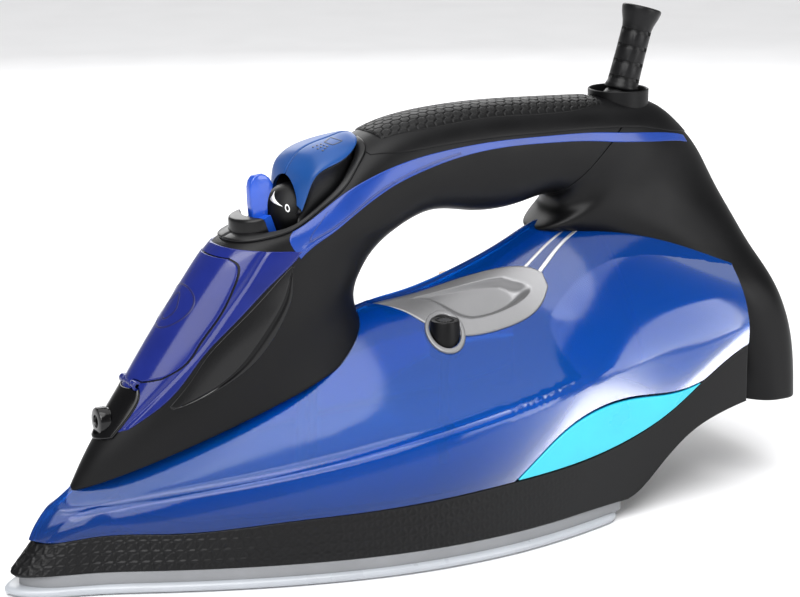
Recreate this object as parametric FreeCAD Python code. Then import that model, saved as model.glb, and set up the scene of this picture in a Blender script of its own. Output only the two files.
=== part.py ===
import FreeCAD, Part
import math
import os

# Steam iron, millimetres. Stations run rearward from the soleplate's nose tip, y is sideways
# and z is up from the surface that the soleplate rests on. The origin of the part is under the
# middle of its overall length, so a station becomes X by taking half the length away.
OVERALL_LENGTH = 312.0
HALF_LENGTH = OVERALL_LENGTH / 2
SHELL = 2.4            # wall of the moulded housings
TANK_WALL = 2.0        # wall of the clear water tank
SOLE_THICK = 3.2
GAP = 0.35             # clearance round anything that moves
SEAT = 0.12            # joint line between two fixed mouldings

# Plan outlines: (station, half width). Each starts on the far side of the tip so that the
# spline rounds the nose.
SOLE_PLAN = [(5, -7), (0, 0), (5, 7), (21, 14.2), (44, 24.5), (72, 37), (98, 46.2), (125, 53),
             (150, 56), (172, 56), (190, 54), (208, 50.5), (220, 47.5)]
BODY_PLAN = [(6.5, -6.5), (2.2, 0), (6.5, 6.5), (22, 12.4), (44.5, 22.5), (72.6, 35.1),
             (98.5, 44.3), (125.3, 51), (150, 54), (172, 54), (190, 52.2), (208, 49.5),
             (235, 46.5), (255, 46), (280, 45), (300, 43)]
NOSE_SPAN = 110        # the body's nose leans back over this length
SKIRT_TIP = 11         # station of the skirt's top edge at the nose
CREASE_TIP = 17        # station of the tank's crease at the nose

# Handle loop: (outer rail point), (inner rail point), half width, widest share, outer and inner
# fullness of the section. Row 0 lies on the tank behind the nose, the last is the heel's base.
LOOP = [
    ((24, 33), (137, 72), 19.5, .66, 1.7, 2.0),
    ((31, 45), (133.5, 80), 19, .62, 1.9, 2.2),
    ((40, 58), (131.5, 87), 19, .60, 1.95, 2.2),
    ((51, 74), (132, 93), 19, .58, 2.0, 2.2),
    ((62, 89), (134.5, 98), 18.5, .55, 2.1, 2.2),
    ((72, 102), (138.5, 103), 18, .50, 2.2, 2.2),
    ((83, 112.5), (143.5, 107.5), 17.5, .50, 2.5, 2.3),
    ((97, 116.5), (148, 110.5), 17.3, .5, 3, 2.3),
    ((110, 123), (152, 112.5), 17.2, .5, 3, 2.3),
    ((121, 132), (157, 114), 17, .5, 3, 2.3),
    ((132, 141), (163, 114.8), 16.8, .5, 2.8, 2.4),
    ((147, 147.5), (171, 114), 16.5, .48, 2.5, 2.5),
    ((166, 150.3), (180, 112.4), 16, .45, 2.3, 2.5),
    ((186, 151), (189, 112), 16, .45, 2.3, 2.5),
    ((207, 150.5), (198, 113), 16, .45, 2.3, 2.5),
    ((228, 149.6), (207, 115), 16.2, .45, 2.3, 2.5),
    ((246, 148.5), (213, 115), 17, .45, 2.3, 2.5),
    ((260, 145.5), (215.5, 112.5), 17.5, .45, 2.4, 2.4),
    ((271, 138), (214, 107), 18, .45, 2.4, 2.4),
    ((281, 127.5), (208, 102), 18.5, .45, 2.4, 2.3),
    ((288, 115), (222, 99), 21, .45, 2.4, 2.2),
    ((294, 102), (240, 92), 26, .45, 2.6, 2.2),
    ((299, 90), (252, 83), 32, .45, 2.8, 2.2),
    ((304, 77), (262, 70), 39, .42, 3.2, 2.2),
    ((310, 56), (273, 54), 41, .42, 3.6, 2.4),
    ((312, 31.5), (281, 32), 41, .42, 3.6, 2.4),
]
SEAM_ROW = 16          # row where the handle moulding meets the rear cover

# Lines on the loop skin as (u, v) points, far side
COVER_EDGE = [(1.5, .58), (1.83, .75), (2.87, .89), (3.57, 1.04), (4.59, 1.25), (5.4, 1.40), (5.85, 1.42)]
DOOR_EDGE = [(2.62, .66), (3.2, .78), (3.9, .84), (4.6, .84), (5.2, .78), (5.5, .66)]
SURROUND_EDGE = [(1.35, .36), (1.9, .44), (2.3, .42), (2.5, .34)]
GROOVE = [(1.66, .84), (1.61, .98), (1.66, 1.13), (1.86, 1.29), (2.34, 1.43), (3.23, 1.51), (4.5, 1.50),
          (5.25, 1.43)]
INSERT_EDGE = [(1.80, .80), (2.3, .88), (2.87, .93), (3.57, 1.08), (4.59, 1.29), (5.25, 1.40)]
RING_OUTER = [(5.98, 0), (6.12, .57), (6.47, .78), (7.14, .80), (7.95, .76), (8.8, .80), (9.6, .64),
              (10.05, .44), (10.25, 0)]
RING_INNER = [(6.36, 0), (6.52, .42), (6.85, .60), (7.3, .66), (8, .62), (8.75, .63), (9.4, .5),
              (9.8, .3), (9.95, 0)]
STRIPE_TOP = [(6.95, .93), (7.95, .86), (8.63, .96), (9.61, 1.17), (10.77, 1.29), (11.85, 1.29),
              (12.86, 1.27), (13.85, 1.27), (15.39, 1.30), (17.11, 1.17), (18.25, .62)]
STRIPE_FOOT = [(5.62, 1.45), (6.3, 1.48), (7.93, 1.40), (9.04, 1.45), (10.49, 1.51), (11.74, 1.47),
               (12.83, 1.41), (13.86, 1.41), (15.55, 1.49), (17.34, 1.31), (18.5, .66)]
PAD_EDGE = [(10.45, .50), (11.34, .72), (12.8, .73), (14.67, .71), (15.3, .55)]
# Side line between the handle's lower and top mouldings, (station, height)
SPLIT = [(106, 112), (117, 121), (129, 126.5), (143, 131.5), (160, 135.5), (185, 138), (210, 138),
         (230, 136.8), (250, 135), (272, 131.5), (300, 126)]
SPLIT_FRONT = [(300, 170), (139, 170), (137, 149), (126, 136), (112, 122)]
# Silver trim on the tank beside the grip, as (outline share, level) points on the body skin
TRIM_INNER = [(.486, 2.96), (.519, 2.95), (.57, 2.91), (.608, 2.86), (.644, 2.79), (.672, 2.70), (.684, 2.62)]
TRIM_OUTER = [(.486, 2.92), (.512, 2.77), (.53, 2.63), (.556, 2.52), (.59, 2.47), (.64, 2.45), (.684, 2.54)]
STRIP_LINES = (([(.690, 2.69), (.717, 2.74), (.74, 2.775)], [(.692, 2.665), (.719, 2.715), (.742, 2.755)]),
               ([(.694, 2.64), (.721, 2.695), (.744, 2.74)], [(.696, 2.615), (.723, 2.67), (.746, 2.72)]))

# Controls and inner parts
LEVER_AT = (109.5, 119.5)        # station and height of the steam lever's pivot
LEVER_TILT = 20.0                # degrees that the pivot leans forward
DOME_R = 10.2
ROD_STATION = 112.0
ROD_R = 2.0
PUMP_STATION = 121.0
PUMP_Y = 7.5
PUMP_R = 5.0
PUMP_FOOT, PUMP_TOP = 98.0, 117.0
STEM_R = 2.0
BUTTON_TRAVEL = 3.0
SPRING_TOP = 129.0
SEAT_R = 4.0                     # spring seat under each pad
BUTTON_HALF = 15.6
BUTTON_SIDE = [(102.5, 120.5), (104.2, 128), (106.6, 134), (110.6, 139.4), (115, 142.3), (123, 144.4),
               (128, 145.3), (131.4, 145.7), (133.2, 144.9), (132.2, 142.2), (127, 136.6), (117, 129.4),
               (110, 124.2)]
CLEAN_AT = (159.5, -19.5)        # station and y of the self-clean button
CLEAN_R = 5.2
CLEAN_Z = 73.2                   # height of the trim under that button
LENS_AT = (182.0, 17.0)          # station and y of the pilot lens
FUNNEL_STATION = 85.0
FUNNEL_R = 8.6
NOZZLE_Z = 55.4
DOOR_PIN = (47.4, 67.3)          # station and height of the filler door's hinge
RELIEF_AT = (247.0, 146.0)       # station and height of the cord swivel's centre
RELIEF_LEAN = 16.0               # degrees that the bend sleeve leans back
BALL_R = 6.9
TRUNNION_R = 1.2                 # side pins that the sleeve tilts on
TRUNNION_END = 8.2
CORD_R = 3.6                     # bore of the bend sleeve
BODY_END = .93                   # share of the body outline where tank and skirt end
FLOOR_Z = 23.0                   # tank floor
BULKHEAD = 232.0                 # station of the tank's back wall
SOLE_END = 224.0
TRAY_END = 278.0
HEEL_Z = 34.0
CASTING_TOP = 13.0
BLOCK_FOOT = -5.0                # the fitting block reaches below the table
BLOCK_LEVELS = [-1, -.8, -.6, -.4, -.2] + [k * 3 / 18 for k in range(19)]


def spline(points):
    """Natural cubic spline through (x, y) points, held at its ends."""
    xs = [p[0] for p in points]
    ys = [p[1] for p in points]
    n = len(xs)
    h = [xs[i + 1] - xs[i] for i in range(n - 1)]
    slope = [(ys[i + 1] - ys[i]) / h[i] for i in range(n - 1)]
    rhs = [0.0] * n
    upper = [0.0] * n
    for i in range(1, n - 1):
        w = 2 * (h[i - 1] + h[i]) - h[i - 1] * upper[i - 1]
        upper[i] = h[i] / w
        rhs[i] = (6 * (slope[i] - slope[i - 1]) - h[i - 1] * rhs[i - 1]) / w
    m = [0.0] * n
    for i in range(n - 2, 0, -1):
        m[i] = rhs[i] - upper[i] * m[i + 1]

    def value(x):
        x = min(max(x, xs[0]), xs[-1])
        i = 0
        while i < n - 2 and x > xs[i + 1]:
            i += 1
        t = x - xs[i]
        u = xs[i + 1] - x
        return ((m[i] * u ** 3 + m[i + 1] * t ** 3) / (6 * h[i])
                + (ys[i] / h[i] - m[i] * h[i] / 6) * u
                + (ys[i + 1] / h[i] - m[i + 1] * h[i] / 6) * t)
    return value


def curve(points):
    """Spline through points of any dimension, 0 to 1 by chord length."""
    run = [0.0]
    for a, b in zip(points, points[1:]):
        run.append(run[-1] + math.dist(a, b))
    keys = [r / run[-1] for r in run]
    tracks = [spline(list(zip(keys, column))) for column in zip(*points)]
    return lambda t: tuple(track(t) for track in tracks)


def from_tip(plan):
    """Half outline, 0 at the nose tip to 1 at its rear end."""
    whole = curve(plan)
    low, high = 0.0, 0.2
    for _ in range(40):
        mid = (low + high) / 2
        if whole(mid)[1] < 0:
            low = mid
        else:
            high = mid
    return lambda p: whole(low + (1 - low) * p)


sole_edge = from_tip(SOLE_PLAN)
body_edge = from_tip(BODY_PLAN)

# Heights of the body's feature lines against station
skirt_foot = spline([(222, 7.5), (226, 8.8), (237, 17), (250, 27), (265, 33), (281, 36), (300, 38)])
skirt_top = spline([(0, 17), (11, 17.2), (20, 18.5), (53, 19.5), (83, 22), (123, 24), (145, 25),
                    (168, 26), (205, 27.5), (225, 31), (243, 38), (257, 47), (273, 56), (300, 62)])
crease_z = spline([(0, 26.5), (29, 27), (53, 31), (89, 37.5), (130, 44.5), (169, 50.5), (202, 55),
                   (231, 60), (261, 67), (275, 70), (300, 74)])
crown_z = spline([(17, 26), (26, 33), (60, 50), (100, 66), (138, 81), (155, 83.5), (178, 89.5),
                  (198, 97), (210, 102.5), (235, 108), (262, 106), (290, 100)])
crown_shift = spline([(17, 9), (30, 6), (50, 3), (90, 0), (140, 0), (300, 0)])
sag_y = spline([(0, .4), (160, .37), (207, .28), (222, .2), (240, .15), (300, .15)])
sag_z = spline([(0, .28), (160, .28), (207, .35), (222, .45), (240, .55), (300, .55)])
leaf_rise = spline([(.573, 1.0), (.637, 1.48), (.684, 1.62), (.763, 1.53), (.862, 1.0)])
LEAF_SPAN = (.579, .856)         # share of the body outline that the leaf inlay covers


def mix(a, b, t):
    return tuple(x + (y - x) * t for x, y in zip(a, b))


def drawn_in(p, tip, narrow):
    """Body outline with its nose moved back to station tip and its sides narrowed by a share."""
    s, h = body_edge(p)
    if s < NOSE_SPAN:
        s = tip + (s - BODY_PLAN[1][0]) * (NOSE_SPAN - tip) / (NOSE_SPAN - BODY_PLAN[1][0])
    return s, max(h, 0.0) * (1 - narrow)


def body(p, t):
    """Outer skin: t 0 skirt foot, 1 skirt top, 2 tank crease, 3 crown. Negative p is the near side."""
    if p < 0:
        s, y, z = body(-p, t)
        return s, -y, z
    foot = drawn_in(p, BODY_PLAN[1][0], 0)
    foot = foot + (skirt_foot(foot[0]),)
    if t < 0:
        return mix(foot, (foot[0], foot[1], BLOCK_FOOT), -t)
    top = drawn_in(p, SKIRT_TIP, .014)
    top = top + (skirt_top(top[0]),)
    if t <= 1:
        return mix(foot, top, t)
    crease = drawn_in(p, CREASE_TIP, .045)
    crease = crease + (crease_z(crease[0]),)
    if t <= 2:
        k = t - 1
        s, y, z = mix(top, crease, k)
        bulge = 3.2 * k * (1 - k)
        side = min(y / 8, 1)
        return s - bulge * (1 - side), y + bulge * side, z
    k = t - 2
    s = crease[0] + crown_shift(crease[0])
    crown = (s, 0.0, crown_z(s))
    rise = crown[2] - crease[2]
    hold = (crease[0] + (s - crease[0]) * .35, crease[1] * (1 - sag_y(s)), crease[2] + rise * sag_z(s))
    flat = (s, crease[1] * .22, crown[2])
    w = ((1 - k) ** 3, 3 * k * (1 - k) ** 2, 3 * k * k * (1 - k), k ** 3)
    return tuple(w[0] * a + w[1] * b + w[2] * c + w[3] * d for a, b, c, d in zip(crease, hold, flat, crown))


TRACKS = [spline(list(enumerate(column))) for column in
          zip(*[(o[0], o[1], i[0], i[1], w, a, n, m) for o, i, w, a, n, m in LOOP])]


def loop(u, v, inset=0.0):
    """Skin of the handle loop: u is the row, v runs 0 at the outer rail to pi at the inner rail.
    Negative v is the near side."""
    os_, oz, is_, iz, width, widest, full_out, full_in = (track(u) for track in TRACKS)
    length = math.dist((os_, oz), (is_, iz))
    ds, dz = (is_ - os_) / length, (iz - oz) / length
    length -= 2 * inset
    width -= inset
    c = math.cos(v)
    side = 1 if v >= 0 else -1
    e = 2 / (full_out if c >= 0 else full_in)
    along = widest * (1 - c ** e) if c >= 0 else widest + (1 - widest) * (-c) ** e
    y = side * width * abs(math.sin(v)) ** e
    return os_ + ds * (inset + length * along), y, oz + dz * (inset + length * along)


def vec(s, y, z):
    return FreeCAD.Vector(s - HALF_LENGTH, y, z)


def normal(skin, a, b):
    """Unit normal of skin(a, b), for a and b from 0 to 1, by differences."""
    e = 1e-3
    pa = FreeCAD.Vector(*skin(a + e, b)) - FreeCAD.Vector(*skin(a - e, b))
    pb = FreeCAD.Vector(*skin(a, b + e)) - FreeCAD.Vector(*skin(a, b - e))
    n = pa.cross(pb)
    return n / n.Length


def surface_of(rows):
    surface = Part.BSplineSurface()
    surface.interpolate(rows)
    return surface


def border(surface, side):
    """Edge of a surface: "first" or "last" row, "low" or "high" column."""
    u0, u1, v0, v1 = surface.bounds()
    line = {"first": lambda: surface.uIso(u0), "last": lambda: surface.uIso(u1),
            "low": lambda: surface.vIso(v0), "high": lambda: surface.vIso(v1)}[side]()
    return line.toShape()


def rim(upper, lower, side):
    return Part.makeRuledSurface(border(upper, side), border(lower, side))


def solid_of(faces, tolerance=0.01):
    """Closed solid from faces that share their borders."""
    shape = Part.makeCompound(faces)
    shape.sewShape(tolerance)
    solid = Part.makeSolid(shape.Shells[0])
    if solid.Volume < 0:
        solid.reverse()
    return solid


def edge_through(points):
    line = Part.BSplineCurve()
    line.interpolate(points)
    return line.toShape()


def patch(skin, low, high, na=24, nb=8):
    """Closed plate between two depths over skin(a, b), a and b from 0 to 1."""
    layers = []
    for depth in (high, low):
        rows = []
        for i in range(na + 1):
            row = []
            for j in range(nb + 1):
                n = normal(skin, i / na, j / nb)
                row.append(vec(*skin(i / na, j / nb)) + n * depth)
            rows.append(row)
        layers.append(surface_of(rows))
    upper, lower = layers
    faces = [upper.toShape(), lower.toShape()]
    faces += [rim(upper, lower, side) for side in ("first", "last", "low", "high")]
    return solid_of(faces)


def ribbon(skin, near, far):
    """Patch skin between two curves in the (u, v) plane of another skin."""
    a_curve, b_curve = curve(near), curve(far)

    def place(a, b):
        return skin(*mix(a_curve(min(max(a, 0), 1)), b_curve(min(max(a, 0), 1)), b))
    return place


def mirrored(shape):
    return shape.mirror(FreeCAD.Vector(0, 0, 0), FreeCAD.Vector(0, 1, 0))


def loop_solid(u0, u1, inset=0.0, across=16):
    """Solid of the handle loop between two rows, its skin moved inward by inset."""
    count = max(3, 2 * int(round(u1 - u0)))
    faces = []
    ends = {"first": [], "last": []}
    for side in (1, -1):
        rows = []
        for i in range(count + 1):
            u = u0 + (u1 - u0) * i / count
            rows.append([vec(*loop(u, side * math.pi * j / across, inset)) for j in range(across + 1)])
        surface = surface_of(rows)
        faces.append(surface.toShape())
        for end in ends:
            ends[end].append(border(surface, end))
    for pair in ends.values():
        faces.append(Part.Face(Part.Wire(Part.__sortEdges__(pair))))
    return solid_of(faces)


def body_normal(p, t, high):
    """Outward unit normal of the body skin on its far side."""
    e = 1e-3
    if t > 2.99:
        along = FreeCAD.Vector(*body(p + .01, 3)) - FreeCAD.Vector(*body(p, 3))
        n = FreeCAD.Vector(-along.z, 0, along.x)
        return n / n.Length
    up = FreeCAD.Vector(*body(p, min(t + e, high))) - FreeCAD.Vector(*body(p, t - e))
    if p == 0:
        n = FreeCAD.Vector(-up.z, 0, up.x)
        return n / n.Length
    along = FreeCAD.Vector(*body(p + e, t)) - FreeCAD.Vector(*body(p - e, t))
    n = along.cross(up)
    if n.y < 0:
        n = -n
    return n / n.Length


def body_surface(p1, t_of, inset, side, na=36, nb=16):
    """One side of the body skin from the nose to outline share p1, moved inward by inset."""
    rows = []
    for i in range(na + 1):
        p = p1 * i / na
        low, high = t_of(p)
        row = []
        for j in range(nb + 1):
            t = low + (high - low) * j / nb
            q = vec(*body(p, t)) - body_normal(p, t, high) * inset
            if p == 0 or t > 2.99:
                q.y = 0
            q.y *= side
            row.append(q)
        rows.append(row)
    return surface_of(rows)


def body_shell(p1, t_of, thick, nb=16):
    """Wall of the body on both sides of the nose, from the nose to outline share p1."""
    closed_top = t_of(0)[1] > 2.99
    faces = []
    for side in (1, -1):
        outer = body_surface(p1, t_of, 0, side, nb=nb)
        inner = body_surface(p1, t_of, thick, side, nb=nb)
        faces += [outer.toShape(), inner.toShape()]
        faces += [rim(outer, inner, edge) for edge in ("last", "low")]
        if not closed_top:
            faces.append(rim(outer, inner, "high"))
    return solid_of(faces)


def body_block(p1, grow=0.0):
    """Solid filling the body skin down to below the table, for fitting other parts to it."""
    faces = []
    base = []
    back = []
    end_x = vec(*body(p1, 2)).x
    for side in (1, -1):
        rows = []
        for i in range(37):
            p = p1 * i / 36
            row = []
            for t in BLOCK_LEVELS:
                q = vec(*body(p, t)) + body_normal(p, t, 3) * grow
                q.y = 0 if p == 0 or t > 2.99 else q.y * side
                q.z = BLOCK_FOOT if t == BLOCK_LEVELS[0] else q.z
                q.x = end_x if i == 36 else q.x
                row.append(q)
            rows.append(row)
        surface = surface_of(rows)
        faces.append(surface.toShape())
        base.append(border(surface, "low"))
        back.append(border(surface, "last"))
    corners = [max(edge.Vertexes, key=lambda v: v.X).Point for edge in base]
    closing = Part.makeLine(*corners)
    for edges in (base, back):
        faces.append(Part.Face(Part.Wire(Part.__sortEdges__(edges + [closing]))))
    return solid_of(faces)


def plate(outline, z0, z1):
    """Extruded plate from a closed half outline of (station, half width) points, mirrored."""
    near = [vec(s, -h, z0) for s, h in outline]
    far = [vec(s, h, z0) for s, h in reversed(outline)]
    tip = vec(outline[0][0], 0, z0)
    if outline[0][1] < 1e-6:
        points = far[:-1] + [tip] + near[1:]
    else:
        points = far + near
    line = edge_through(points)
    back = Part.makeLine(points[-1], points[0])
    return Part.Face(Part.Wire([line, back])).extrude(FreeCAD.Vector(0, 0, z1 - z0))


def sole_outline(inset, start=0.0, end=1.0, count=22):
    """Soleplate half outline moved inward, with its nose pulled back in proportion."""
    points = []
    for k in range(count + 1):
        s, h = sole_edge(start + (end - start) * k / count)
        points.append((s + inset * 2.2 * max(0, 1 - s / 120), max(h, 0) * (1 - inset / 56)))
    return points


def cylinder(s, y, z, r, height, axis=(0, 0, 1)):
    return Part.makeCylinder(r, height, vec(s, y, z), FreeCAD.Vector(*axis))


def tube(s, y, z, r_out, r_in, height, axis=(0, 0, 1)):
    return cylinder(s, y, z, r_out, height, axis).cut(cylinder(s, y, z, r_in, height, axis))


def box(s0, s1, y0, y1, z0, z1):
    return Part.makeBox(s1 - s0, y1 - y0, z1 - z0, vec(s0, y0, z0))


def side_prism(points, y0, y1):
    """Prism across the iron from a closed side outline of (station, z) points."""
    corners = [vec(s, y0, z) for s, z in points]
    wire = Part.makePolygon(corners + corners[:1])
    return Part.Face(wire).extrude(FreeCAD.Vector(0, y1 - y0, 0))


def spring(s, y, z0, z1, r, wire, turns):
    """Closed coil spring along z, as a swept round wire."""
    path = Part.makeHelix((z1 - z0 - 2 * wire) / turns, z1 - z0 - 2 * wire, r)
    profile = Part.Wire([Part.makeCircle(wire, FreeCAD.Vector(r, 0, 0), FreeCAD.Vector(0, 1, 0))])
    coil = Part.Wire(path).makePipeShell([profile], True, True)
    coil.translate(vec(s, y, z0 + wire))
    return coil


def tilt_frame(shape, s, z, degrees):
    """Lean a shape built upright at station s, height z towards the nose (positive) or heel."""
    shape.rotate(vec(s, 0, z), FreeCAD.Vector(0, 1, 0), -degrees)
    return shape


# ---------------------------------------------------------------- base and heating
def soleplate():
    plate_ = plate(sole_outline(0), 0, SOLE_THICK)
    for s, y in steam_ports():
        plate_ = plate_.cut(cylinder(s, y, -1, 1.5, SOLE_THICK + 2))
    return plate_


def steam_ports():
    """Rows of steam outlets beside the edge and a cluster behind the nose."""
    ports = []
    for k in range(9):
        s, h = sole_edge(.20 + .07 * k)
        ports += [(s + 4, .72 * h), (s + 4, -.72 * h)]
    for k in range(3):
        ports += [(34 + 7 * k, 3.2 + 1.2 * k), (34 + 7 * k, -3.2 - 1.2 * k)]
    return ports


def element_path():
    """Centre line of the U-shaped heating element at half the sole's width."""
    half = [(s, .44 * h) for s, h in (sole_edge(.24 + .076 * k) for k in range(10))]
    nose = (half[0][0] - 12, 0)
    points = [(s, -h) for s, h in reversed(half)] + [nose] + half
    return [vec(s, y, 8.4) for s, y in points]


def heating_element():
    line = Part.BSplineCurve()
    line.interpolate(element_path())
    path = Part.Wire([line.toShape()])
    start = element_path()[0]
    ring = Part.Wire([Part.makeCircle(3.2, start, line.tangent(line.FirstParameter)[0])])
    rod = path.makePipeShell([ring], True, False)
    return rod


def sole_screws():
    """Six studs that carry the body on the soleplate's rear."""
    studs = []
    for side in (1, -1):
        for share in (.845, .88, .915):
            s, h = sole_edge(share)
            studs.append(cylinder(s, side * (h - 5), SOLE_THICK, 2.0, 4.4))
    return Part.makeCompound(studs)


def heater_casting(element):
    block = plate(sole_outline(7, 0, .97), SOLE_THICK, CASTING_TOP)
    chamber = plate([(s * .55 + 42, h * .5) for s, h in sole_outline(10, .25, .8)], 9.5, CASTING_TOP + 1)
    block = block.cut(element).cut(chamber)
    for s, y in steam_ports():
        block = block.cut(cylinder(s, y, 0, 1.5, CASTING_TOP + 4))
    return block.cut(sole_screws())


def chamber_cover():
    lid = plate([(s * .62 + 34, h * .62) for s, h in sole_outline(8, .2, .85)], CASTING_TOP, CASTING_TOP + 1.4)
    lid = lid.cut(cylinder(ROD_STATION, 0, 10, 3.4, 10))
    return lid.cut(cylinder(PUMP_STATION, 9, 10, 1.8, 10))


def heat_cover():
    ring = plate(sole_outline(2.4), SOLE_THICK, 7.3)
    return ring.cut(plate(sole_outline(6.6), 0, 20)).cut(sole_screws())


def insulating_plate():
    sheet = plate(body_plan(6), 16.5, 18.3)
    sheet = sheet.cut(box(SOLE_END - 2, 320, -60, 60, 10, 30))
    for s, y, r in ((ROD_STATION, 0, 4.2), (PUMP_STATION, 9, 1.8), (199, 8, 3)):
        sheet = sheet.cut(cylinder(s, y, 10, r, 15))
    return sheet


def body_plan(inset, start=.17, end=.80, count=16):
    points = []
    for k in range(count + 1):
        s, h = body_edge(start + (end - start) * k / count)
        points.append((s, h - inset))
    return points


def thermal_fuse():
    return cylinder(198, -7, CASTING_TOP + 1.75, 1.7, 14, (0, 1, 0))


def temperature_sensor():
    return cylinder(186, 0, CASTING_TOP, 4.0, 3.0).fuse(cylinder(186, 0, CASTING_TOP + 3, 2.2, .4))


# ---------------------------------------------------------------- body
def base_tray():
    """Sloping cover under the rear, between the soleplate and the heel."""
    stations = [SOLE_END + 1 + (TRAY_END - SOLE_END - 1) * k / 6 for k in range(7)]
    lower = [(s, foot_at(s) + .5) for s in stations]
    upper = [(s, z + 2.2) for s, z in reversed(lower)]
    sheet = side_prism(lower + upper, -60, 60)
    return sheet.common(plate(body_plan(SHELL + SEAT + .6, .70, BODY_END), 0, 60))


def foot_at(s):
    """Height of the skirt's foot at a station of the rear."""
    share = min((k / 400 for k in range(280, 373)), key=lambda p: abs(body(p, 0)[0] - s))
    return body(share, 0)[2]


def lower_skirt():
    return body_shell(BODY_END, lambda p: (0, 1), SHELL, nb=4).cut(sole_screws())


def tank_low(p):
    low = 1.015
    if LEAF_SPAN[0] - .006 <= p <= LEAF_SPAN[1] + .006:
        low = max(low, leaf_rise(p) + .015)
    return low


def tank_shell(cuts):
    wall = body_shell(BODY_END, lambda p: (tank_low(p), 3), TANK_WALL)
    for cut in cuts:
        wall = wall.cut(cut)
    return wall


def leaf_skin(side):
    def skin(a, b):
        p = LEAF_SPAN[0] + (LEAF_SPAN[1] - LEAF_SPAN[0]) * a
        s, y, z = body(p, 1.01 + (leaf_rise(p) - 1.02) * b)
        return s, y * side, z
    return skin


def light_leaf(side):
    """Cyan inlay between skirt and tank."""
    return patch(leaf_skin(side), -1.7 * side, .1 * side, 24, 5)


def tank_floor():
    """Floor of the water tank with the bulkhead that closes its back."""
    floor = plate(body_plan(TANK_WALL + 3.2, .19, .80), FLOOR_Z, FLOOR_Z + 1.6)
    bulkhead = box(BULKHEAD - 2, BULKHEAD, -60, 60, FLOOR_Z, 110)
    floor = floor.cut(box(BULKHEAD, 300, -60, 60, 0, 50))
    floor = floor.fuse(bulkhead.common(body_block(BODY_END, -TANK_WALL - SEAT)))
    for s, y, r in ((ROD_STATION, 0, 4.2), (PUMP_STATION, 9, 1.75), (CLEAN_AT[0], CLEAN_AT[1], 1.9)):
        floor = floor.cut(cylinder(s, y, 10, r, 20))
    return floor


def trim(side):
    def skin(p, t):
        s, y, z = body(p, min(t, 2.985))
        return s, side * y, z
    plate_ = patch(ribbon(skin, TRIM_INNER, TRIM_OUTER), .06 * side, .9 * side, 24, 8)
    if side < 0:
        return plate_.cut(cylinder(*CLEAN_AT, 50, CLEAN_R + 1.3 + SEAT, 50))
    return plate_.cut(cylinder(*LENS_AT, 50, 2.6 + SEAT, 60))


def trim_strips():
    strips = []
    for side in (1, -1):
        for near, far in STRIP_LINES:
            def skin(p, t, side=side):
                s, y, z = body(p, t)
                return s, side * y, z
            strips.append(patch(ribbon(skin, near, far), .06 * side, .8 * side, 10, 2))
    return Part.makeCompound(strips)


def pilot_lens():
    s, y = LENS_AT
    z = body(.617, 2.62)[2]
    lens = cylinder(s, y, z - 3, 2.6, 8)
    return lens.common(Part.makeSphere(5, vec(s, y, z - 1)))


def clean_collar():
    s, y = CLEAN_AT
    cup = cylinder(s, y, CLEAN_Z - 7, CLEAN_R + 1.3, 7.6)
    cup = cup.cut(cylinder(s, y, CLEAN_Z - 5, CLEAN_R + GAP, 10))
    return cup.cut(cylinder(s, y, CLEAN_Z - 9, 1.86, 20))


def self_clean_button():
    s, y = CLEAN_AT
    cap = cylinder(s, y, CLEAN_Z - 1.2, CLEAN_R, 5.6)
    cap = cap.makeFillet(.6, [e for e in cap.Edges if e.BoundBox.ZMin > CLEAN_Z + 4])
    cap = cap.cut(cylinder(s, y, CLEAN_Z - 2, CLEAN_R - 1, 4.6))
    return cap.fuse(cylinder(s, y, FLOOR_Z - .6, 1.8, CLEAN_Z - FLOOR_Z + 3.6))


def self_clean_spring():
    return spring(*CLEAN_AT, CLEAN_Z - 4.9, CLEAN_Z + 2.5, 3.1, .4, 3)


# ---------------------------------------------------------------- front housing and handle
def handle_hollow():
    return loop_solid(0, SEAM_ROW).cut(loop_solid(0, SEAM_ROW, SHELL))


def upper_prism():
    return side_prism(SPLIT + SPLIT_FRONT, -60, 60)


def largest(shape):
    """The main solid of a shape whose cuts left loose slivers."""
    return max(shape.Solids, key=lambda solid: solid.Volume)


def far_near(edge):
    return [(u, -v) for u, v in edge], edge


def cover_patch(low, high):
    return patch(ribbon(loop, *far_near(COVER_EDGE)), low, high, 20, 14)


def door_patch(low, high, grow=0.0):
    edge = [(u + (grow if k > 2 else -grow), v + grow) for k, (u, v) in enumerate(DOOR_EDGE)]
    return patch(ribbon(loop, *far_near(edge)), low, high, 16, 10)


def surround_patch(low, high):
    return patch(ribbon(loop, *far_near(SURROUND_EDGE)), low, high, 8, 6)


def insert_patch(side, low, high):
    def skin(u, v):
        return loop(u, side * v)
    return patch(ribbon(skin, INSERT_EDGE, GROOVE), low * side, high * side, 20, 6)


def stripe_patch(side, low, high):
    def skin(u, v):
        return loop(u, side * v)
    return patch(ribbon(skin, STRIPE_TOP, STRIPE_FOOT), low * side, high * side, 48, 3)


def ring_half(side, low, high):
    def skin(u, v):
        return loop(u, side * v)
    return patch(ribbon(skin, RING_INNER, RING_OUTER), low * side, high * side, 36, 3)


def front_cover(door_hole, surround_hole):
    cover = cover_patch(-1.5, .6).cut(door_hole).cut(surround_hole)
    s, z = DOOR_PIN
    for y0, y1 in ((-6.2, -3.3), (3.3, 6.2)):
        cover = cover.fuse(cylinder(s, y0, z, 1.7, y1 - y0, (0, 1, 0)))
    cover = cover.cut(cylinder(s, -3.3, z, 2.1, 6.6, (0, 1, 0)))
    for side in (1, -1):
        cover = cover.cut(stripe_patch(side, -1.2, 3))
    return largest(cover.cut(cylinder(s, -8, z, .8, 16, (0, 1, 0))))


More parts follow.
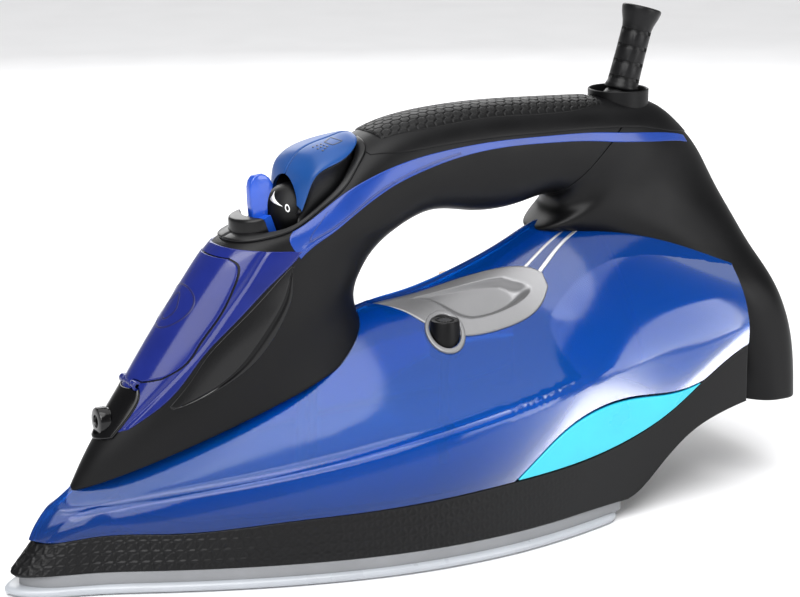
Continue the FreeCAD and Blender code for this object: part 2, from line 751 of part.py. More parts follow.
def filler_door():
    s, z = DOOR_PIN
    door = door_patch(-1.3, .9)
    for y0, y1 in ((-6.7, -3.0), (3.0, 6.7)):
        door = door.cut(cylinder(s, y0, z, 2.1, y1 - y0, (0, 1, 0)))
    door = door.fuse(cylinder(s, -3.0, z, 1.7, 6.0, (0, 1, 0)))
    return door.cut(cylinder(s, -8, z, .86, 16, (0, 1, 0)))


def door_pin():
    return cylinder(DOOR_PIN[0], -6.2, DOOR_PIN[1], .8, 12.4, (0, 1, 0))


def filler_funnel(block):
    throat = tube(FUNNEL_STATION, 0, 50, FUNNEL_R, FUNNEL_R - 1.5, 50)
    throat = throat.cut(block)
    return throat.cut(side_prism([(60, 80), (60, 115), (99, 115), (95, 99), (75, 79)], -20, 20))


def nozzle_surround():
    surround = surround_patch(-2.2, 1.4)
    surround = surround.cut(cylinder(30, 0, NOZZLE_Z, 4.2 + SEAT, 11.2, (1, 0, 0)))
    surround = surround.cut(cylinder(40, 0, NOZZLE_Z, 3.3 + SEAT, 20, (1, 0, 0)))
    return largest(surround.cut(cylinder(DOOR_PIN[0], -7, DOOR_PIN[1], 2.1, 14, (0, 1, 0))))


def spray_nozzle():
    barrel = cylinder(34.6, 0, NOZZLE_Z, 4.2, 6.4, (1, 0, 0))
    barrel = barrel.fuse(cylinder(41.0, 0, NOZZLE_Z, 3.3, 7.5, (1, 0, 0)))
    barrel = barrel.cut(cylinder(34, 0, NOZZLE_Z, .6, 20, (1, 0, 0)))
    return barrel.cut(cylinder(34, 0, NOZZLE_Z, 1.6, 1.6, (1, 0, 0)))


def control_bezel():
    ring = ring_half(1, -1.2, 1.1).fuse(ring_half(-1, -1.2, 1.1))
    return largest(ring.cut(button_well()).cut(lever_well()))


def dome_at(r):
    return Part.makeSphere(r, vec(LEVER_AT[0], 0, LEVER_AT[1]))


def around_lever(r, low, high):
    """Cylinder on the lever's leaning axis, between two heights along it."""
    shape = cylinder(LEVER_AT[0], 0, LEVER_AT[1] + low, r, high - low)
    return tilt_frame(shape, *LEVER_AT, LEVER_TILT)


def steam_scale():
    dome = dome_at(DOME_R).cut(around_lever(30, -20, -2.4))
    foot = box(113, 119, -3.4, 3.4, 117, 124).cut(around_lever(9.4, -20, -2.0))
    return dome.fuse(foot)


def lever_bearing():
    disc = around_lever(15.2, -8.5, -5.2).cut(around_lever(3.06, -20, 5))
    return disc.cut(box(PUMP_STATION - PUMP_R - .5, 140, -20, 20, 90, 140))


def lever_sector(r_in, r_out, low, high, half_angle):
    band = around_lever(r_out, low, high)
    if r_in:
        band = band.cut(around_lever(r_in, low - 1, high + 1))
    reach = 40
    spread = reach * math.tan(math.radians(half_angle))
    wedge = [vec(LEVER_AT[0], 0, 60)]
    wedge += [vec(LEVER_AT[0] - reach, side * spread, 60) for side in (1, -1)]
    wedge = Part.Face(Part.makePolygon(wedge + wedge[:1])).extrude(FreeCAD.Vector(0, 0, 100))
    return band.common(wedge)


def steam_lever():
    lever = around_lever(3.0, -15, -2.8)
    lever = lever.fuse(around_lever(6.0, -4.6, -2.8))
    lever = lever.fuse(lever_sector(0, 14.2, -4.6, -2.8, 24))
    lever = lever.fuse(lever_sector(DOME_R + .4, 14.2, -4.6, 4.2, 24))
    fin = side_prism([(93.2, 117), (92.6, 129.5), (94, 132.8), (96.5, 134.2), (99.4, 132.8), (101.6, 129.5),
                      (101.6, 118)], -1.8, 1.8)
    return lever.fuse(fin.cut(dome_at(DOME_R + .4)))


def pivot_cap(block_cut):
    cap = box(82, 98, -10.5, 10.5, 110, 123.2)
    round_front = cylinder(93.5, 0, 100, 11.5, 40)
    cap = cap.common(round_front.fuse(box(93.5, 99, -11, 11, 100, 140)))
    cap = cap.cut(side_prism([(80, 121), (80, 130), (100, 130), (100, 124.5)], -20, 20))
    for side in (1, -1):
        cap = cap.cut(ring_half(side, -1.2, 1.2))
    return largest(cap.cut(block_cut).cut(around_lever(17.3, -30, 40)))


def lever_well():
    return around_lever(15.2 + SEAT, -10, 30)


def steam_rod():
    rod = cylinder(ROD_STATION, 0, CASTING_TOP + 2.6, ROD_R, 101 - CASTING_TOP - 2.6)
    return rod.fuse(cylinder(ROD_STATION, 0, 98, 4, 3))


def rod_seal():
    top = crown_z(ROD_STATION)
    return tube(ROD_STATION, 0, top - 4.5, 4.2, ROD_R + .06, 7.5)


def valve_seat():
    sleeve = tube(ROD_STATION, 0, CASTING_TOP + 1.4, 4.1, 2.8, FLOOR_Z + 1.6 - CASTING_TOP - 1.4)
    return sleeve.cut(cylinder(ROD_STATION, 0, CASTING_TOP, ROD_R + .5, 20))


def button_prism(y0, y1, drop=0.0, grow=0.0):
    """Side outline of the pressed pads across y0 to y1, optionally swept down and grown."""
    count = len(BUTTON_SIDE)
    mid = (sum(p[0] for p in BUTTON_SIDE) / count, sum(p[1] for p in BUTTON_SIDE) / count)
    outline = []
    for s, z in BUTTON_SIDE:
        length = math.dist((s, z), mid)
        outline.append((s + grow * (s - mid[0]) / length, z + grow * (z - mid[1]) / length))
    solid = side_prism(outline, y0, y1)
    if drop:
        low = solid.copy()
        low.translate(FreeCAD.Vector(0, 0, -drop))
        half = solid.copy()
        half.translate(FreeCAD.Vector(0, 0, -drop / 2))
        solid = solid.fuse([half, low])
    return solid


def button_well():
    """Room for both pads over their travel."""
    return button_prism(-BUTTON_HALF - .4, BUTTON_HALF + .4, BUTTON_TRAVEL + .4, .45)


def press_button(side):
    """One of the two pads on top, with its stem and pump piston."""
    pad = button_prism(.25, BUTTON_HALF)
    crown = Part.makeCylinder(24, 80, vec(80, 0, 121.5), FreeCAD.Vector(1, 0, 0))
    crown = tilt_frame(crown, 121, 121.5, -14)
    pad = pad.common(crown)
    dome_room = dome_at(DOME_R + .4)
    lifted = dome_at(DOME_R + .4)
    lifted.translate(FreeCAD.Vector(0, 0, BUTTON_TRAVEL))
    dome_room = dome_room.fuse([lifted, cylinder(LEVER_AT[0], 0, LEVER_AT[1], DOME_R + .4, BUTTON_TRAVEL)])
    lever_room = side_prism([(90, 110), (90, 124), (112, 130), (118, 124), (118, 110)], -9.5, 9.5)
    pad = pad.cut(dome_room).cut(lever_sector(0, 14.8, -8, 8, 60)).cut(lever_room)
    stem = cylinder(PUMP_STATION, PUMP_Y, PUMP_FOOT + 8, STEM_R, 138 - PUMP_FOOT - 8)
    stem = stem.fuse(cylinder(PUMP_STATION, PUMP_Y, SPRING_TOP + .45, SEAT_R, 137 - SPRING_TOP))
    head = cylinder(PUMP_STATION, PUMP_Y, PUMP_FOOT + 6, PUMP_R - 1.5, 3)
    pad = pad.fuse(stem).fuse(head)
    return pad if side > 0 else mirrored(pad)


def pump(side):
    body_ = cylinder(PUMP_STATION, PUMP_Y, PUMP_FOOT, PUMP_R, PUMP_TOP - PUMP_FOOT)
    body_ = body_.cut(cylinder(PUMP_STATION, PUMP_Y, PUMP_FOOT + 1.2, PUMP_R - 1.44, 14))
    body_ = body_.cut(cylinder(PUMP_STATION, PUMP_Y, PUMP_FOOT + 1.2, STEM_R + .06, 40))
    return body_ if side > 0 else mirrored(body_)


def pump_spring(side):
    coil = spring(PUMP_STATION, PUMP_Y, PUMP_TOP, SPRING_TOP, 3.1, .4, 5)
    return coil if side > 0 else mirrored(coil)


def hose(points, r):
    """Pipe of straight runs with round corners."""
    places = [vec(*p) for p in points]
    pipe = None
    for a, b in zip(places, places[1:]):
        run = Part.makeCylinder(r, (b - a).Length, a, b - a)
        pipe = run if pipe is None else pipe.fuse(run)
    for corner in places[1:-1]:
        pipe = pipe.fuse(Part.makeSphere(r, corner))
    return pipe


def spray_hose():
    return hose([(PUMP_STATION, -PUMP_Y, PUMP_FOOT), (PUMP_STATION, -PUMP_Y, 88), (100, -12, 76), (70, -12, 66),
                 (56, -5, 58), (48.5, 0, NOZZLE_Z)], 1.5).cut(spray_nozzle())


def steam_hose():
    return hose([(PUMP_STATION, PUMP_Y, PUMP_FOOT), (PUMP_STATION, PUMP_Y, 90), (PUMP_STATION, 9, 84),
                 (PUMP_STATION, 9, CASTING_TOP + .2)], 1.6)


def side_stripe(side):
    return stripe_patch(side, -1.2, .3)


def side_insert(side):
    return insert_patch(side, -1.8, -.1)


def grip_pad():
    return patch(ribbon(loop, *far_near(PAD_EDGE)), -.8, .35, 30, 12)


# ---------------------------------------------------------------- rear
def rear_hollow():
    return loop_solid(SEAM_ROW, len(LOOP) - 1).cut(loop_solid(SEAM_ROW, len(LOOP) - 1, SHELL))


def heel_plate():
    """Flat plate in the rear cover's open foot."""
    rim_ = [loop(25, math.pi * k / 12, SHELL + .9) for k in range(-11, 13)]
    outline = Part.BSplineCurve()
    outline.interpolate(Points=[vec(s, y, HEEL_Z) for s, y, _ in rim_], PeriodicFlag=True)
    sheet = Part.Face(Part.Wire([outline.toShape()])).extrude(FreeCAD.Vector(0, 0, 2.4))
    return sheet.cut(heel_screws())


def heel_screws():
    screws = []
    for y in (-22, 22):
        head = cylinder(298, y, HEEL_Z - .6, 2.6, 1.8)
        screws.append(head.fuse(cylinder(298, y, HEEL_Z + 1.2, 1.3, 9)))
    return Part.makeCompound(screws)


def terminal_block():
    block = box(276, 290, -10, 10, 86, 95)
    for y in (-6.5, 0, 6.5):
        block = block.cut(box(275, 291, y - 2.4, y + 2.4, 91, 96))
    return block


def control_board():
    board = box(252, 274, 5, 6.6, 112, 128)
    return board.fuse(box(256, 264, 2, 5, 116, 124)).fuse(box(267, 272, 3, 5, 118, 123))


def swivel_cup():
    s, z = RELIEF_AT
    cup = cylinder(s, 0, z - 9, 11.4, 14).common(loop_solid(14, 18, .05))
    cup = cup.cut(Part.makeSphere(9.25, vec(s, 0, z))).cut(cylinder(s, 0, z - 12, 5, 12))
    return cup.cut(cylinder(s, 0, z + .4, 10.4, 20))


def swivel_collar():
    s, z = RELIEF_AT
    ring = Part.makeSphere(8.95, vec(s, 0, z)).cut(Part.makeSphere(BALL_R + .3, vec(s, 0, z)))
    ring = ring.common(box(s - 20, s + 20, -20, 20, z - 5, z))
    return ring.cut(cylinder(s, -10, z, TRUNNION_R + .15, 20, (0, 1, 0)))


def strain_relief():
    """Bend sleeve with a bell mouth, built upright on its ball and leaned back."""
    s, z = RELIEF_AT
    profile = [(0, 4.4, 5.2), (4.4, 6.0, 6.5), (6.0, 29.5, 5.6), (29.5, 36.5, 7.4)]
    sleeve = Part.makeSphere(BALL_R, vec(s, 0, z))
    sleeve = sleeve.fuse(cylinder(s, -TRUNNION_END, z, TRUNNION_R, 2 * TRUNNION_END, (0, 1, 0)))
    below = 5.0
    for low, high, r in profile:
        sleeve = sleeve.fuse(Part.makeCone(below, r, high - low, vec(s, 0, z + low)))
        below = r
    for k in range(7):
        height = z + 8.2 + 3.0 * k
        ring = tube(s, 0, height, 9, 4.9, 1.3)
        half = box(s - 10, s + 10, 0, 10, height - 1, height + 3)
        half.rotate(vec(s, 0, z), FreeCAD.Vector(0, 0, 1), 180 * (k % 2) - 25)
        sleeve = sleeve.cut(ring.common(half))
    sleeve = sleeve.cut(cylinder(s, 0, z - 10, CORD_R, 60))
    return tilt_frame(sleeve, s, z, -RELIEF_LEAN)


def build():
    parts = {}
    block = body_block(BODY_END, SEAT)
    element = heating_element()
    prism = upper_prism()
    clean_hole = cylinder(*CLEAN_AT, 55, CLEAN_R + 1.3 + SEAT, 30)
    tank_cuts = [clean_hole, cylinder(*CLEAN_AT, 10, 1.9, 80),
                 cylinder(ROD_STATION, 0, 55, 4.2, 30), cylinder(PUMP_STATION, 9, 50, 1.75, 50),
                 cylinder(FUNNEL_STATION, 0, 45, FUNNEL_R - 1.5, 30), cylinder(*LENS_AT, 60, 2.6 + SEAT, 40)]

    parts["soleplate"] = soleplate()
    parts["heating_element"] = element
    parts["heater_casting"] = heater_casting(element)
    parts["steam_chamber_cover"] = chamber_cover()
    parts["heat_cover"] = heat_cover()
    parts["insulating_plate"] = insulating_plate()
    parts["sole_screws"] = sole_screws()
    parts["thermal_fuse"] = thermal_fuse()
    parts["temperature_sensor"] = temperature_sensor()
    parts["lower_skirt"] = lower_skirt()
    parts["base_tray"] = base_tray()
    parts["tank_shell"] = tank_shell(tank_cuts)
    parts["tank_floor"] = largest(tank_floor().cut(parts["lower_skirt"]))
    parts["valve_seat"] = valve_seat()
    parts["rod_seal"] = rod_seal()
    parts["pilot_lens"] = pilot_lens()
    parts["self_clean_collar"] = clean_collar()
    parts["self_clean_button"] = self_clean_button()
    parts["self_clean_spring"] = self_clean_spring()
    for name, side in (("left", -1), ("right", 1)):
        parts["light_leaf_" + name] = light_leaf(side)
        parts["console_trim_" + name] = trim(side)
        parts["side_stripe_" + name] = side_stripe(side)
        parts["side_insert_" + name] = side_insert(side)

    surround_tool = surround_patch(-2.4, 4)
    wells = [button_well(), lever_well()]
    wells += [cylinder(PUMP_STATION, y, SPRING_TOP - BUTTON_TRAVEL, SEAT_R + .5, 14) for y in (PUMP_Y, -PUMP_Y)]
    ring_tool = [ring_half(side, -1.2, 4) for side in (1, -1)]
    hollow = handle_hollow().cut(block)
    for tool in wells + ring_tool + [cover_patch(-5, 4), surround_patch(-4, 4)]:
        hollow = hollow.cut(tool)
    for side in (1, -1):
        hollow = hollow.cut(stripe_patch(side, -1.2, 3)).cut(insert_patch(side, -1.8, 3))
    rear = rear_hollow().cut(block)
    for side in (1, -1):
        rear = rear.cut(stripe_patch(side, -1.2, 3))
    cup_tool = cylinder(RELIEF_AT[0], 0, RELIEF_AT[1] - 9.1, 11.4 + SEAT, 30)
    pad_tool = patch(ribbon(loop, *far_near(PAD_EDGE)), -.8, 4, 30, 12)
    parts["handle_shell"] = largest(hollow.cut(prism))
    top = loop_solid(9, 20).cut(loop_solid(9, 20, SHELL)).common(prism)
    for tool in wells + ring_tool + [cup_tool, pad_tool]:
        top = top.cut(tool)
    for side in (1, -1):
        top = top.cut(stripe_patch(side, -1.2, 3))
    parts["handle_top"] = largest(top)
    parts["rear_cover"] = largest(rear.cut(prism))
    parts["trim_strips"] = trim_strips().cut(parts["rear_cover"])
    parts["grip_pad"] = grip_pad()
    parts["front_cover"] = front_cover(door_patch(-5, 5, .03), surround_tool)
    parts["filler_door"] = filler_door()
    parts["door_pin"] = door_pin()
    parts["filler_funnel"] = filler_funnel(block)
    parts["nozzle_surround"] = nozzle_surround()
    parts["spray_nozzle"] = spray_nozzle()
    parts["control_bezel"] = control_bezel()
    parts["steam_scale"] = steam_scale()
    parts["pivot_cap"] = pivot_cap(loop_solid(3, 10, -.05))
    parts["lever_bearing"] = lever_bearing()
    parts["steam_lever"] = steam_lever()
    parts["steam_rod"] = steam_rod()
    for name, side in (("spray", -1), ("steam", 1)):
        parts[name + "_button"] = press_button(side)
        parts[name + "_pump"] = pump(side)
        parts[name + "_spring"] = pump_spring(side)
    parts["spray_hose"] = spray_hose()
    parts["steam_hose"] = steam_hose()
    parts["heel_plate"] = heel_plate()
    parts["heel_screws"] = heel_screws()
    parts["terminal_block"] = terminal_block()
    parts["control_board"] = control_board()
    parts["swivel_cup"] = swivel_cup()
    parts["swivel_collar"] = swivel_collar()
    parts["strain_relief"] = strain_relief()
    return parts


def main():
    os.makedirs("parts", exist_ok=True)
    for name, shape in build().items():
        shape.exportStep("parts/" + name + ".step")
        print(name, "solids", len(shape.Solids), "valid", shape.isValid(), "volume", round(shape.Volume, 1))


if __name__ == "__main__":
    main()
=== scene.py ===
import math

import bmesh
import bpy
import numpy as np
from mathutils import Matrix, Vector


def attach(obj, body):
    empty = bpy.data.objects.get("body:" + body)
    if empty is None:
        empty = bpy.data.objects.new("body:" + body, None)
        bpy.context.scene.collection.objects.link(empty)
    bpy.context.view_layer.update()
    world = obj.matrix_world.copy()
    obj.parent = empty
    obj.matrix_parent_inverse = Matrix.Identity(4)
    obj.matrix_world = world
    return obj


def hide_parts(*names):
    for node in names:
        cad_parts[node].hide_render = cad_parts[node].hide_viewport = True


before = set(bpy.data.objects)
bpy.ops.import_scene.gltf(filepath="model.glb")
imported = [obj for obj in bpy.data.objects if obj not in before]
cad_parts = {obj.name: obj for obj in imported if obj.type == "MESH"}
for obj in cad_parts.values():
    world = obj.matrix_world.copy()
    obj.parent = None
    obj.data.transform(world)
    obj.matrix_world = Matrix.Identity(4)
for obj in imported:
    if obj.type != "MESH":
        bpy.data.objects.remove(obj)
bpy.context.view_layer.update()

# Steam iron. Shapes are worked out in millimetres in the same stations as the CAD: station s runs
# rearward from the nose tip, y is sideways, z is up. Far side has positive y.
HALF_LENGTH = 156.0
MM = 0.001
SHELL = 2.4
TANK_WALL = 2.0

SOLE_PLAN = [(5, -7), (0, 0), (5, 7), (21, 14.2), (44, 24.5), (72, 37), (98, 46.2), (125, 53),
             (150, 56), (172, 56), (190, 54), (208, 50.5), (220, 47.5)]
BODY_PLAN = [(6.5, -6.5), (2.2, 0), (6.5, 6.5), (22, 12.4), (44.5, 22.5), (72.6, 35.1),
             (98.5, 44.3), (125.3, 51), (150, 54), (172, 54), (190, 52.2), (208, 49.5),
             (235, 46.5), (255, 46), (280, 45), (300, 43)]
NOSE_SPAN = 110
SKIRT_TIP = 11
CREASE_TIP = 17
BODY_END = .93

# Handle loop rows: (outer rail), (inner rail), half width, widest share, outer and inner fullness
LOOP = [
    ((24, 33), (137, 72), 19.5, .66, 1.7, 2.0),
    ((31, 45), (133.5, 80), 19, .62, 1.9, 2.2),
    ((40, 58), (131.5, 87), 19, .60, 1.95, 2.2),
    ((51, 74), (132, 93), 19, .58, 2.0, 2.2),
    ((62, 89), (134.5, 98), 18.5, .55, 2.1, 2.2),
    ((72, 102), (138.5, 103), 18, .50, 2.2, 2.2),
    ((83, 112.5), (143.5, 107.5), 17.5, .50, 2.5, 2.3),
    ((97, 116.5), (148, 110.5), 17.3, .5, 3, 2.3),
    ((110, 123), (152, 112.5), 17.2, .5, 3, 2.3),
    ((121, 132), (157, 114), 17, .5, 3, 2.3),
    ((132, 141), (163, 114.8), 16.8, .5, 2.8, 2.4),
    ((147, 147.5), (171, 114), 16.5, .48, 2.5, 2.5),
    ((166, 150.3), (180, 112.4), 16, .45, 2.3, 2.5),
    ((186, 151), (189, 112), 16, .45, 2.3, 2.5),
    ((207, 150.5), (198, 113), 16, .45, 2.3, 2.5),
    ((228, 149.6), (207, 115), 16.2, .45, 2.3, 2.5),
    ((246, 148.5), (213, 115), 17, .45, 2.3, 2.5),
    ((260, 145.5), (215.5, 112.5), 17.5, .45, 2.4, 2.4),
    ((271, 138), (214, 107), 18, .45, 2.4, 2.4),
    ((281, 127.5), (208, 102), 18.5, .45, 2.4, 2.3),
    ((288, 115), (222, 99), 21, .45, 2.4, 2.2),
    ((294, 102), (240, 92), 26, .45, 2.6, 2.2),
    ((299, 90), (252, 83), 32, .45, 2.8, 2.2),
    ((304, 77), (262, 70), 39, .42, 3.2, 2.2),
    ((310, 56), (273, 54), 41, .42, 3.6, 2.4),
    ((312, 31.5), (281, 32), 41, .42, 3.6, 2.4),
]
SEAM_ROW = 16


# ---------------------------------------------------------------- curves and skins
def spline(points):
    """Natural cubic spline through (x, y) points, held at its ends, for arrays of x."""
    xs, ys = np.array(points, float).T
    n = len(xs)
    h = np.diff(xs)
    slope = np.diff(ys) / h
    rhs = np.zeros(n)
    upper = np.zeros(n)
    for i in range(1, n - 1):
        w = 2 * (h[i - 1] + h[i]) - h[i - 1] * upper[i - 1]
        upper[i] = h[i] / w
        rhs[i] = (6 * (slope[i] - slope[i - 1]) - h[i - 1] * rhs[i - 1]) / w
    m = np.zeros(n)
    for i in range(n - 2, 0, -1):
        m[i] = rhs[i] - upper[i] * m[i + 1]

    def value(x):
        x = np.clip(x, xs[0], xs[-1])
        i = np.clip(np.searchsorted(xs, x) - 1, 0, n - 2)
        t = x - xs[i]
        u = xs[i + 1] - x
        return ((m[i] * u ** 3 + m[i + 1] * t ** 3) / (6 * h[i])
                + (ys[i] / h[i] - m[i] * h[i] / 6) * u
                + (ys[i + 1] / h[i] - m[i + 1] * h[i] / 6) * t)
    return value


def curve(points):
    """Spline through points of any dimension, 0 to 1 by chord length."""
    run = [0.0]
    for a, b in zip(points, points[1:]):
        run.append(run[-1] + math.dist(a, b))
    keys = [r / run[-1] for r in run]
    tracks = [spline(list(zip(keys, column))) for column in zip(*points)]
    return lambda t: np.stack([track(t) for track in tracks], -1)


def from_tip(plan):
    """Half outline, 0 at the nose tip to 1 at its rear end."""
    whole = curve(plan)
    low, high = 0.0, 0.2
    for _ in range(40):
        mid = (low + high) / 2
        if whole(mid)[1] < 0:
            low = mid
        else:
            high = mid
    return lambda p: whole(low + (1 - low) * p)


sole_edge = from_tip(SOLE_PLAN)
body_edge = from_tip(BODY_PLAN)

skirt_foot = spline([(222, 7.5), (226, 8.8), (237, 17), (250, 27), (265, 33), (281, 36), (300, 38)])
skirt_top = spline([(0, 17), (11, 17.2), (20, 18.5), (53, 19.5), (83, 22), (123, 24), (145, 25),
                    (168, 26), (205, 27.5), (225, 31), (243, 38), (257, 47), (273, 56), (300, 62)])
crease_z = spline([(0, 26.5), (29, 27), (53, 31), (89, 37.5), (130, 44.5), (169, 50.5), (202, 55),
                   (231, 60), (261, 67), (275, 70), (300, 74)])
crown_z = spline([(17, 26), (26, 33), (60, 50), (100, 66), (138, 81), (155, 83.5), (178, 89.5),
                  (198, 97), (210, 102.5), (235, 108), (262, 106), (290, 100)])
crown_shift = spline([(17, 9), (30, 6), (50, 3), (90, 0), (140, 0), (300, 0)])
sag_y = spline([(0, .4), (160, .37), (207, .28), (222, .2), (240, .15), (300, .15)])
sag_z = spline([(0, .28), (160, .28), (207, .35), (222, .45), (240, .55), (300, .55)])
leaf_rise = spline([(.573, 1.0), (.637, 1.48), (.684, 1.62), (.763, 1.53), (.862, 1.0)])
LEAF_SPAN = (.579, .856)


def body(p, t):
    """Outer skin of the base: t 0 skirt foot, 1 skirt top, 2 tank crease, 3 crown ridge."""
    p, t = np.broadcast_arrays(np.asarray(p, float), np.asarray(t, float))
    side = np.where(p < 0, -1.0, 1.0)
    s, h = np.moveaxis(body_edge(abs(p)), -1, 0)
    h = np.maximum(h, 0)
    tip = BODY_PLAN[1][0]

    def drawn(to, narrow):
        back = to + (s - tip) * (NOSE_SPAN - to) / (NOSE_SPAN - tip)
        return np.where(s < NOSE_SPAN, back, s), h * (1 - narrow)

    top_s, top_y = drawn(SKIRT_TIP, .014)
    top = np.stack([top_s, top_y, skirt_top(top_s)], -1)
    foot = np.stack([s, h, skirt_foot(s)], -1)
    crease_s, crease_y = drawn(CREASE_TIP, .045)
    crease = np.stack([crease_s, crease_y, crease_z(crease_s)], -1)
    k = t[..., None]
    low = foot + (top - foot) * np.clip(k, 0, 1)
    kk = np.clip(k - 1, 0, 1)
    mid = top + (crease - top) * kk
    bulge = 3.2 * kk[..., 0] * (1 - kk[..., 0])
    share = np.minimum(mid[..., 1] / 8, 1)
    mid = mid + np.stack([-bulge * (1 - share), bulge * share, 0 * bulge], -1)
    cs = crease_s + crown_shift(crease_s)
    cz = crown_z(cs)
    crown = np.stack([cs, 0 * cs, cz], -1)
    hold = np.stack([crease_s + (cs - crease_s) * .35, crease_y * (1 - sag_y(cs)),
                     crease[..., 2] + (cz - crease[..., 2]) * sag_z(cs)], -1)
    flat = np.stack([cs, crease_y * .22, cz], -1)
    w = np.clip(k - 2, 0, 1)
    high = (1 - w) ** 3 * crease + 3 * w * (1 - w) ** 2 * hold + 3 * w * w * (1 - w) * flat + w ** 3 * crown
    out = np.where(k <= 1, low, np.where(k <= 2, mid, high))
    out[..., 1] *= side
    return out


TRACKS = [spline(list(enumerate(column))) for column in
          zip(*[(o[0], o[1], i[0], i[1], w, a, n, m) for o, i, w, a, n, m in LOOP])]


def loop(u, v):
    """Skin of the handle loop: row u, v from 0 at the outer rail to pi at the inner rail."""
    u, v = np.broadcast_arrays(np.asarray(u, float), np.asarray(v, float))
    os_, oz, is_, iz, width, widest, full_out, full_in = (track(u) for track in TRACKS)
    c = np.cos(v)
    e = 2 / np.where(c >= 0, full_out, full_in)
    bow = abs(c) ** e
    along = np.where(c >= 0, widest * (1 - bow), widest + (1 - widest) * bow)
    y = np.where(np.sin(v) >= 0, 1, -1) * width * abs(np.sin(v)) ** e
    return np.stack([os_ + (is_ - os_) * along, y, oz + (iz - oz) * along], -1)


def ribbon(skin, near, far):
    """Patch between two curves that lie in the parameter plane of skin."""
    def place(a, b):
        a, b = np.broadcast_arrays(np.asarray(a, float), np.asarray(b, float))
        a = np.clip(a, 0, 1)
        q = near(a) * (1 - b[..., None]) + far(a) * b[..., None]
        return skin(q[..., 0], q[..., 1])
    return place


def flip(skin):
    """The same skin on the other side of the mirror plane."""
    return lambda a, b: skin(a, b) * np.array([1, -1, 1])


def normals(skin, a, b):
    e = 1e-3
    n = np.cross(skin(a + e, b) - skin(a - e, b), skin(a, b + e) - skin(a, b - e))
    length = np.linalg.norm(n, axis=-1, keepdims=True)
    return n / np.maximum(length, 1e-9)


# ---------------------------------------------------------------- mesh building
def to_metres(points):
    return (np.asarray(points, float) - np.array([HALF_LENGTH, 0, 0])) * MM


def make_object(name, points, faces, weld=2e-6, smooth=True):
    """Mesh object from station points, welded, with its faces turned outward."""
    mesh = bpy.data.meshes.new(name)
    mesh.from_pydata([tuple(p) for p in to_metres(points)], [], faces)
    work = bmesh.new()
    work.from_mesh(mesh)
    bmesh.ops.remove_doubles(work, verts=work.verts, dist=weld)
    bmesh.ops.dissolve_degenerate(work, dist=weld / 2, edges=work.edges)
    bmesh.ops.recalc_face_normals(work, faces=work.faces)
    work.to_mesh(mesh)
    work.free()
    for polygon in mesh.polygons:
        polygon.use_smooth = smooth
    piece = bpy.data.objects.new(name, mesh)
    bpy.context.scene.collection.objects.link(piece)
    return piece


def shares(count, length, edge):
    """Shares from 0 to 1 that crowd near both ends, to round an edge of that radius in mm."""
    e = np.minimum(edge / np.maximum(length, 1e-6), .24)[..., None]
    near = np.array([0, .07, .28, .6, 1.0])
    inner = np.arange(1, count) / count
    return np.concatenate([e * near, e + (1 - 2 * e) * inner, 1 - e * near[::-1]], -1)


def run_length(skin, a, b):
    """Length in mm of the skin's lines along the last axis of the a and b arrays."""
    return np.linalg.norm(np.diff(skin(a, b), axis=-2), axis=-1).sum(-1)


def plate_grid(skin, na, nb, edge, closed=False):
    """Parameter grid with crowded borders, and each node's distance from the border in mm."""
    line = np.linspace(0, 1, 25)
    span_b = np.interp(np.linspace(0, 1, 200), line, run_length(skin, line[:, None], line[None, :]))
    span_a = run_length(skin, line[None, :], line[:, None])
    if closed:
        a = np.broadcast_to(np.linspace(0, 1, na + 1)[:, None], (na + 1, nb + 9))
        from_a = np.full_like(a, 1e3)
    else:
        even = np.linspace(0, 1, nb + 9)
        a = shares(na, np.interp(even, line, span_a), edge).T
        length = np.interp(even, line, span_a)[None, :]
        from_a = np.minimum(a, 1 - a) * length
    middle = a[:, a.shape[1] // 2]
    length_b = np.interp(middle, np.linspace(0, 1, 200), span_b)
    b = shares(nb, length_b, edge)
    from_b = np.minimum(b, 1 - b) * length_b[:, None]
    return a, b, np.minimum(from_a, from_b)


def plate(name, skin, low, high, na=40, nb=12, edge=.5, closed=False, relief=None, foot=None):
    """Closed plate over a skin patch, from depth low to depth high, with rounded upper edges.
    relief(a, b, points) adds to the upper depth, and foot(a, b, points) to the lower one."""
    a, b, border = plate_grid(skin, na, nb, edge, closed)
    points = skin(a, b)
    n = normals(skin, a, b)
    n = n * np.sign(np.sum(n[..., 1] * points[..., 1]))
    reach = np.clip(border / edge, 0, 1)
    top = high - edge * (1 - np.sqrt(np.maximum(0, 1 - (1 - reach) ** 2)))
    if relief is not None:
        top = top + relief(a, b, points)
    bottom = np.full_like(top, low)
    if foot is not None:
        bottom = bottom + foot(a, b, points)
    upper = points + n * top[..., None]
    lower = points + n * bottom[..., None]
    rows, columns = a.shape
    cells = np.concatenate([upper.reshape(-1, 3), lower.reshape(-1, 3)])
    under = rows * columns

    def at(i, j, layer=0):
        return layer * under + i * columns + j

    faces = []
    for i in range(rows - 1):
        for j in range(columns - 1):
            quad = (at(i, j), at(i + 1, j), at(i + 1, j + 1), at(i, j + 1))
            faces.append(quad)
            faces.append(tuple(reversed([q + under for q in quad])))
    for j in (0, columns - 1):
        for i in range(rows - 1):
            faces.append((at(i, j), at(i, j, 1), at(i + 1, j, 1), at(i + 1, j)))
    if not closed:
        for i in (0, rows - 1):
            for j in range(columns - 1):
                faces.append((at(i, j), at(i, j + 1), at(i, j + 1, 1), at(i, j, 1)))
    return make_object(name, cells, faces)


def cut(piece, *tools):
    """Takes the tools away from piece, exactly, and removes them."""
    for tool in tools:
        modifier = piece.modifiers.new("cut", "BOOLEAN")
        modifier.operation = "DIFFERENCE"
        modifier.solver = "EXACT"
        modifier.object = tool
        apply_modifiers(piece)
        bpy.data.objects.remove(tool)
    return piece


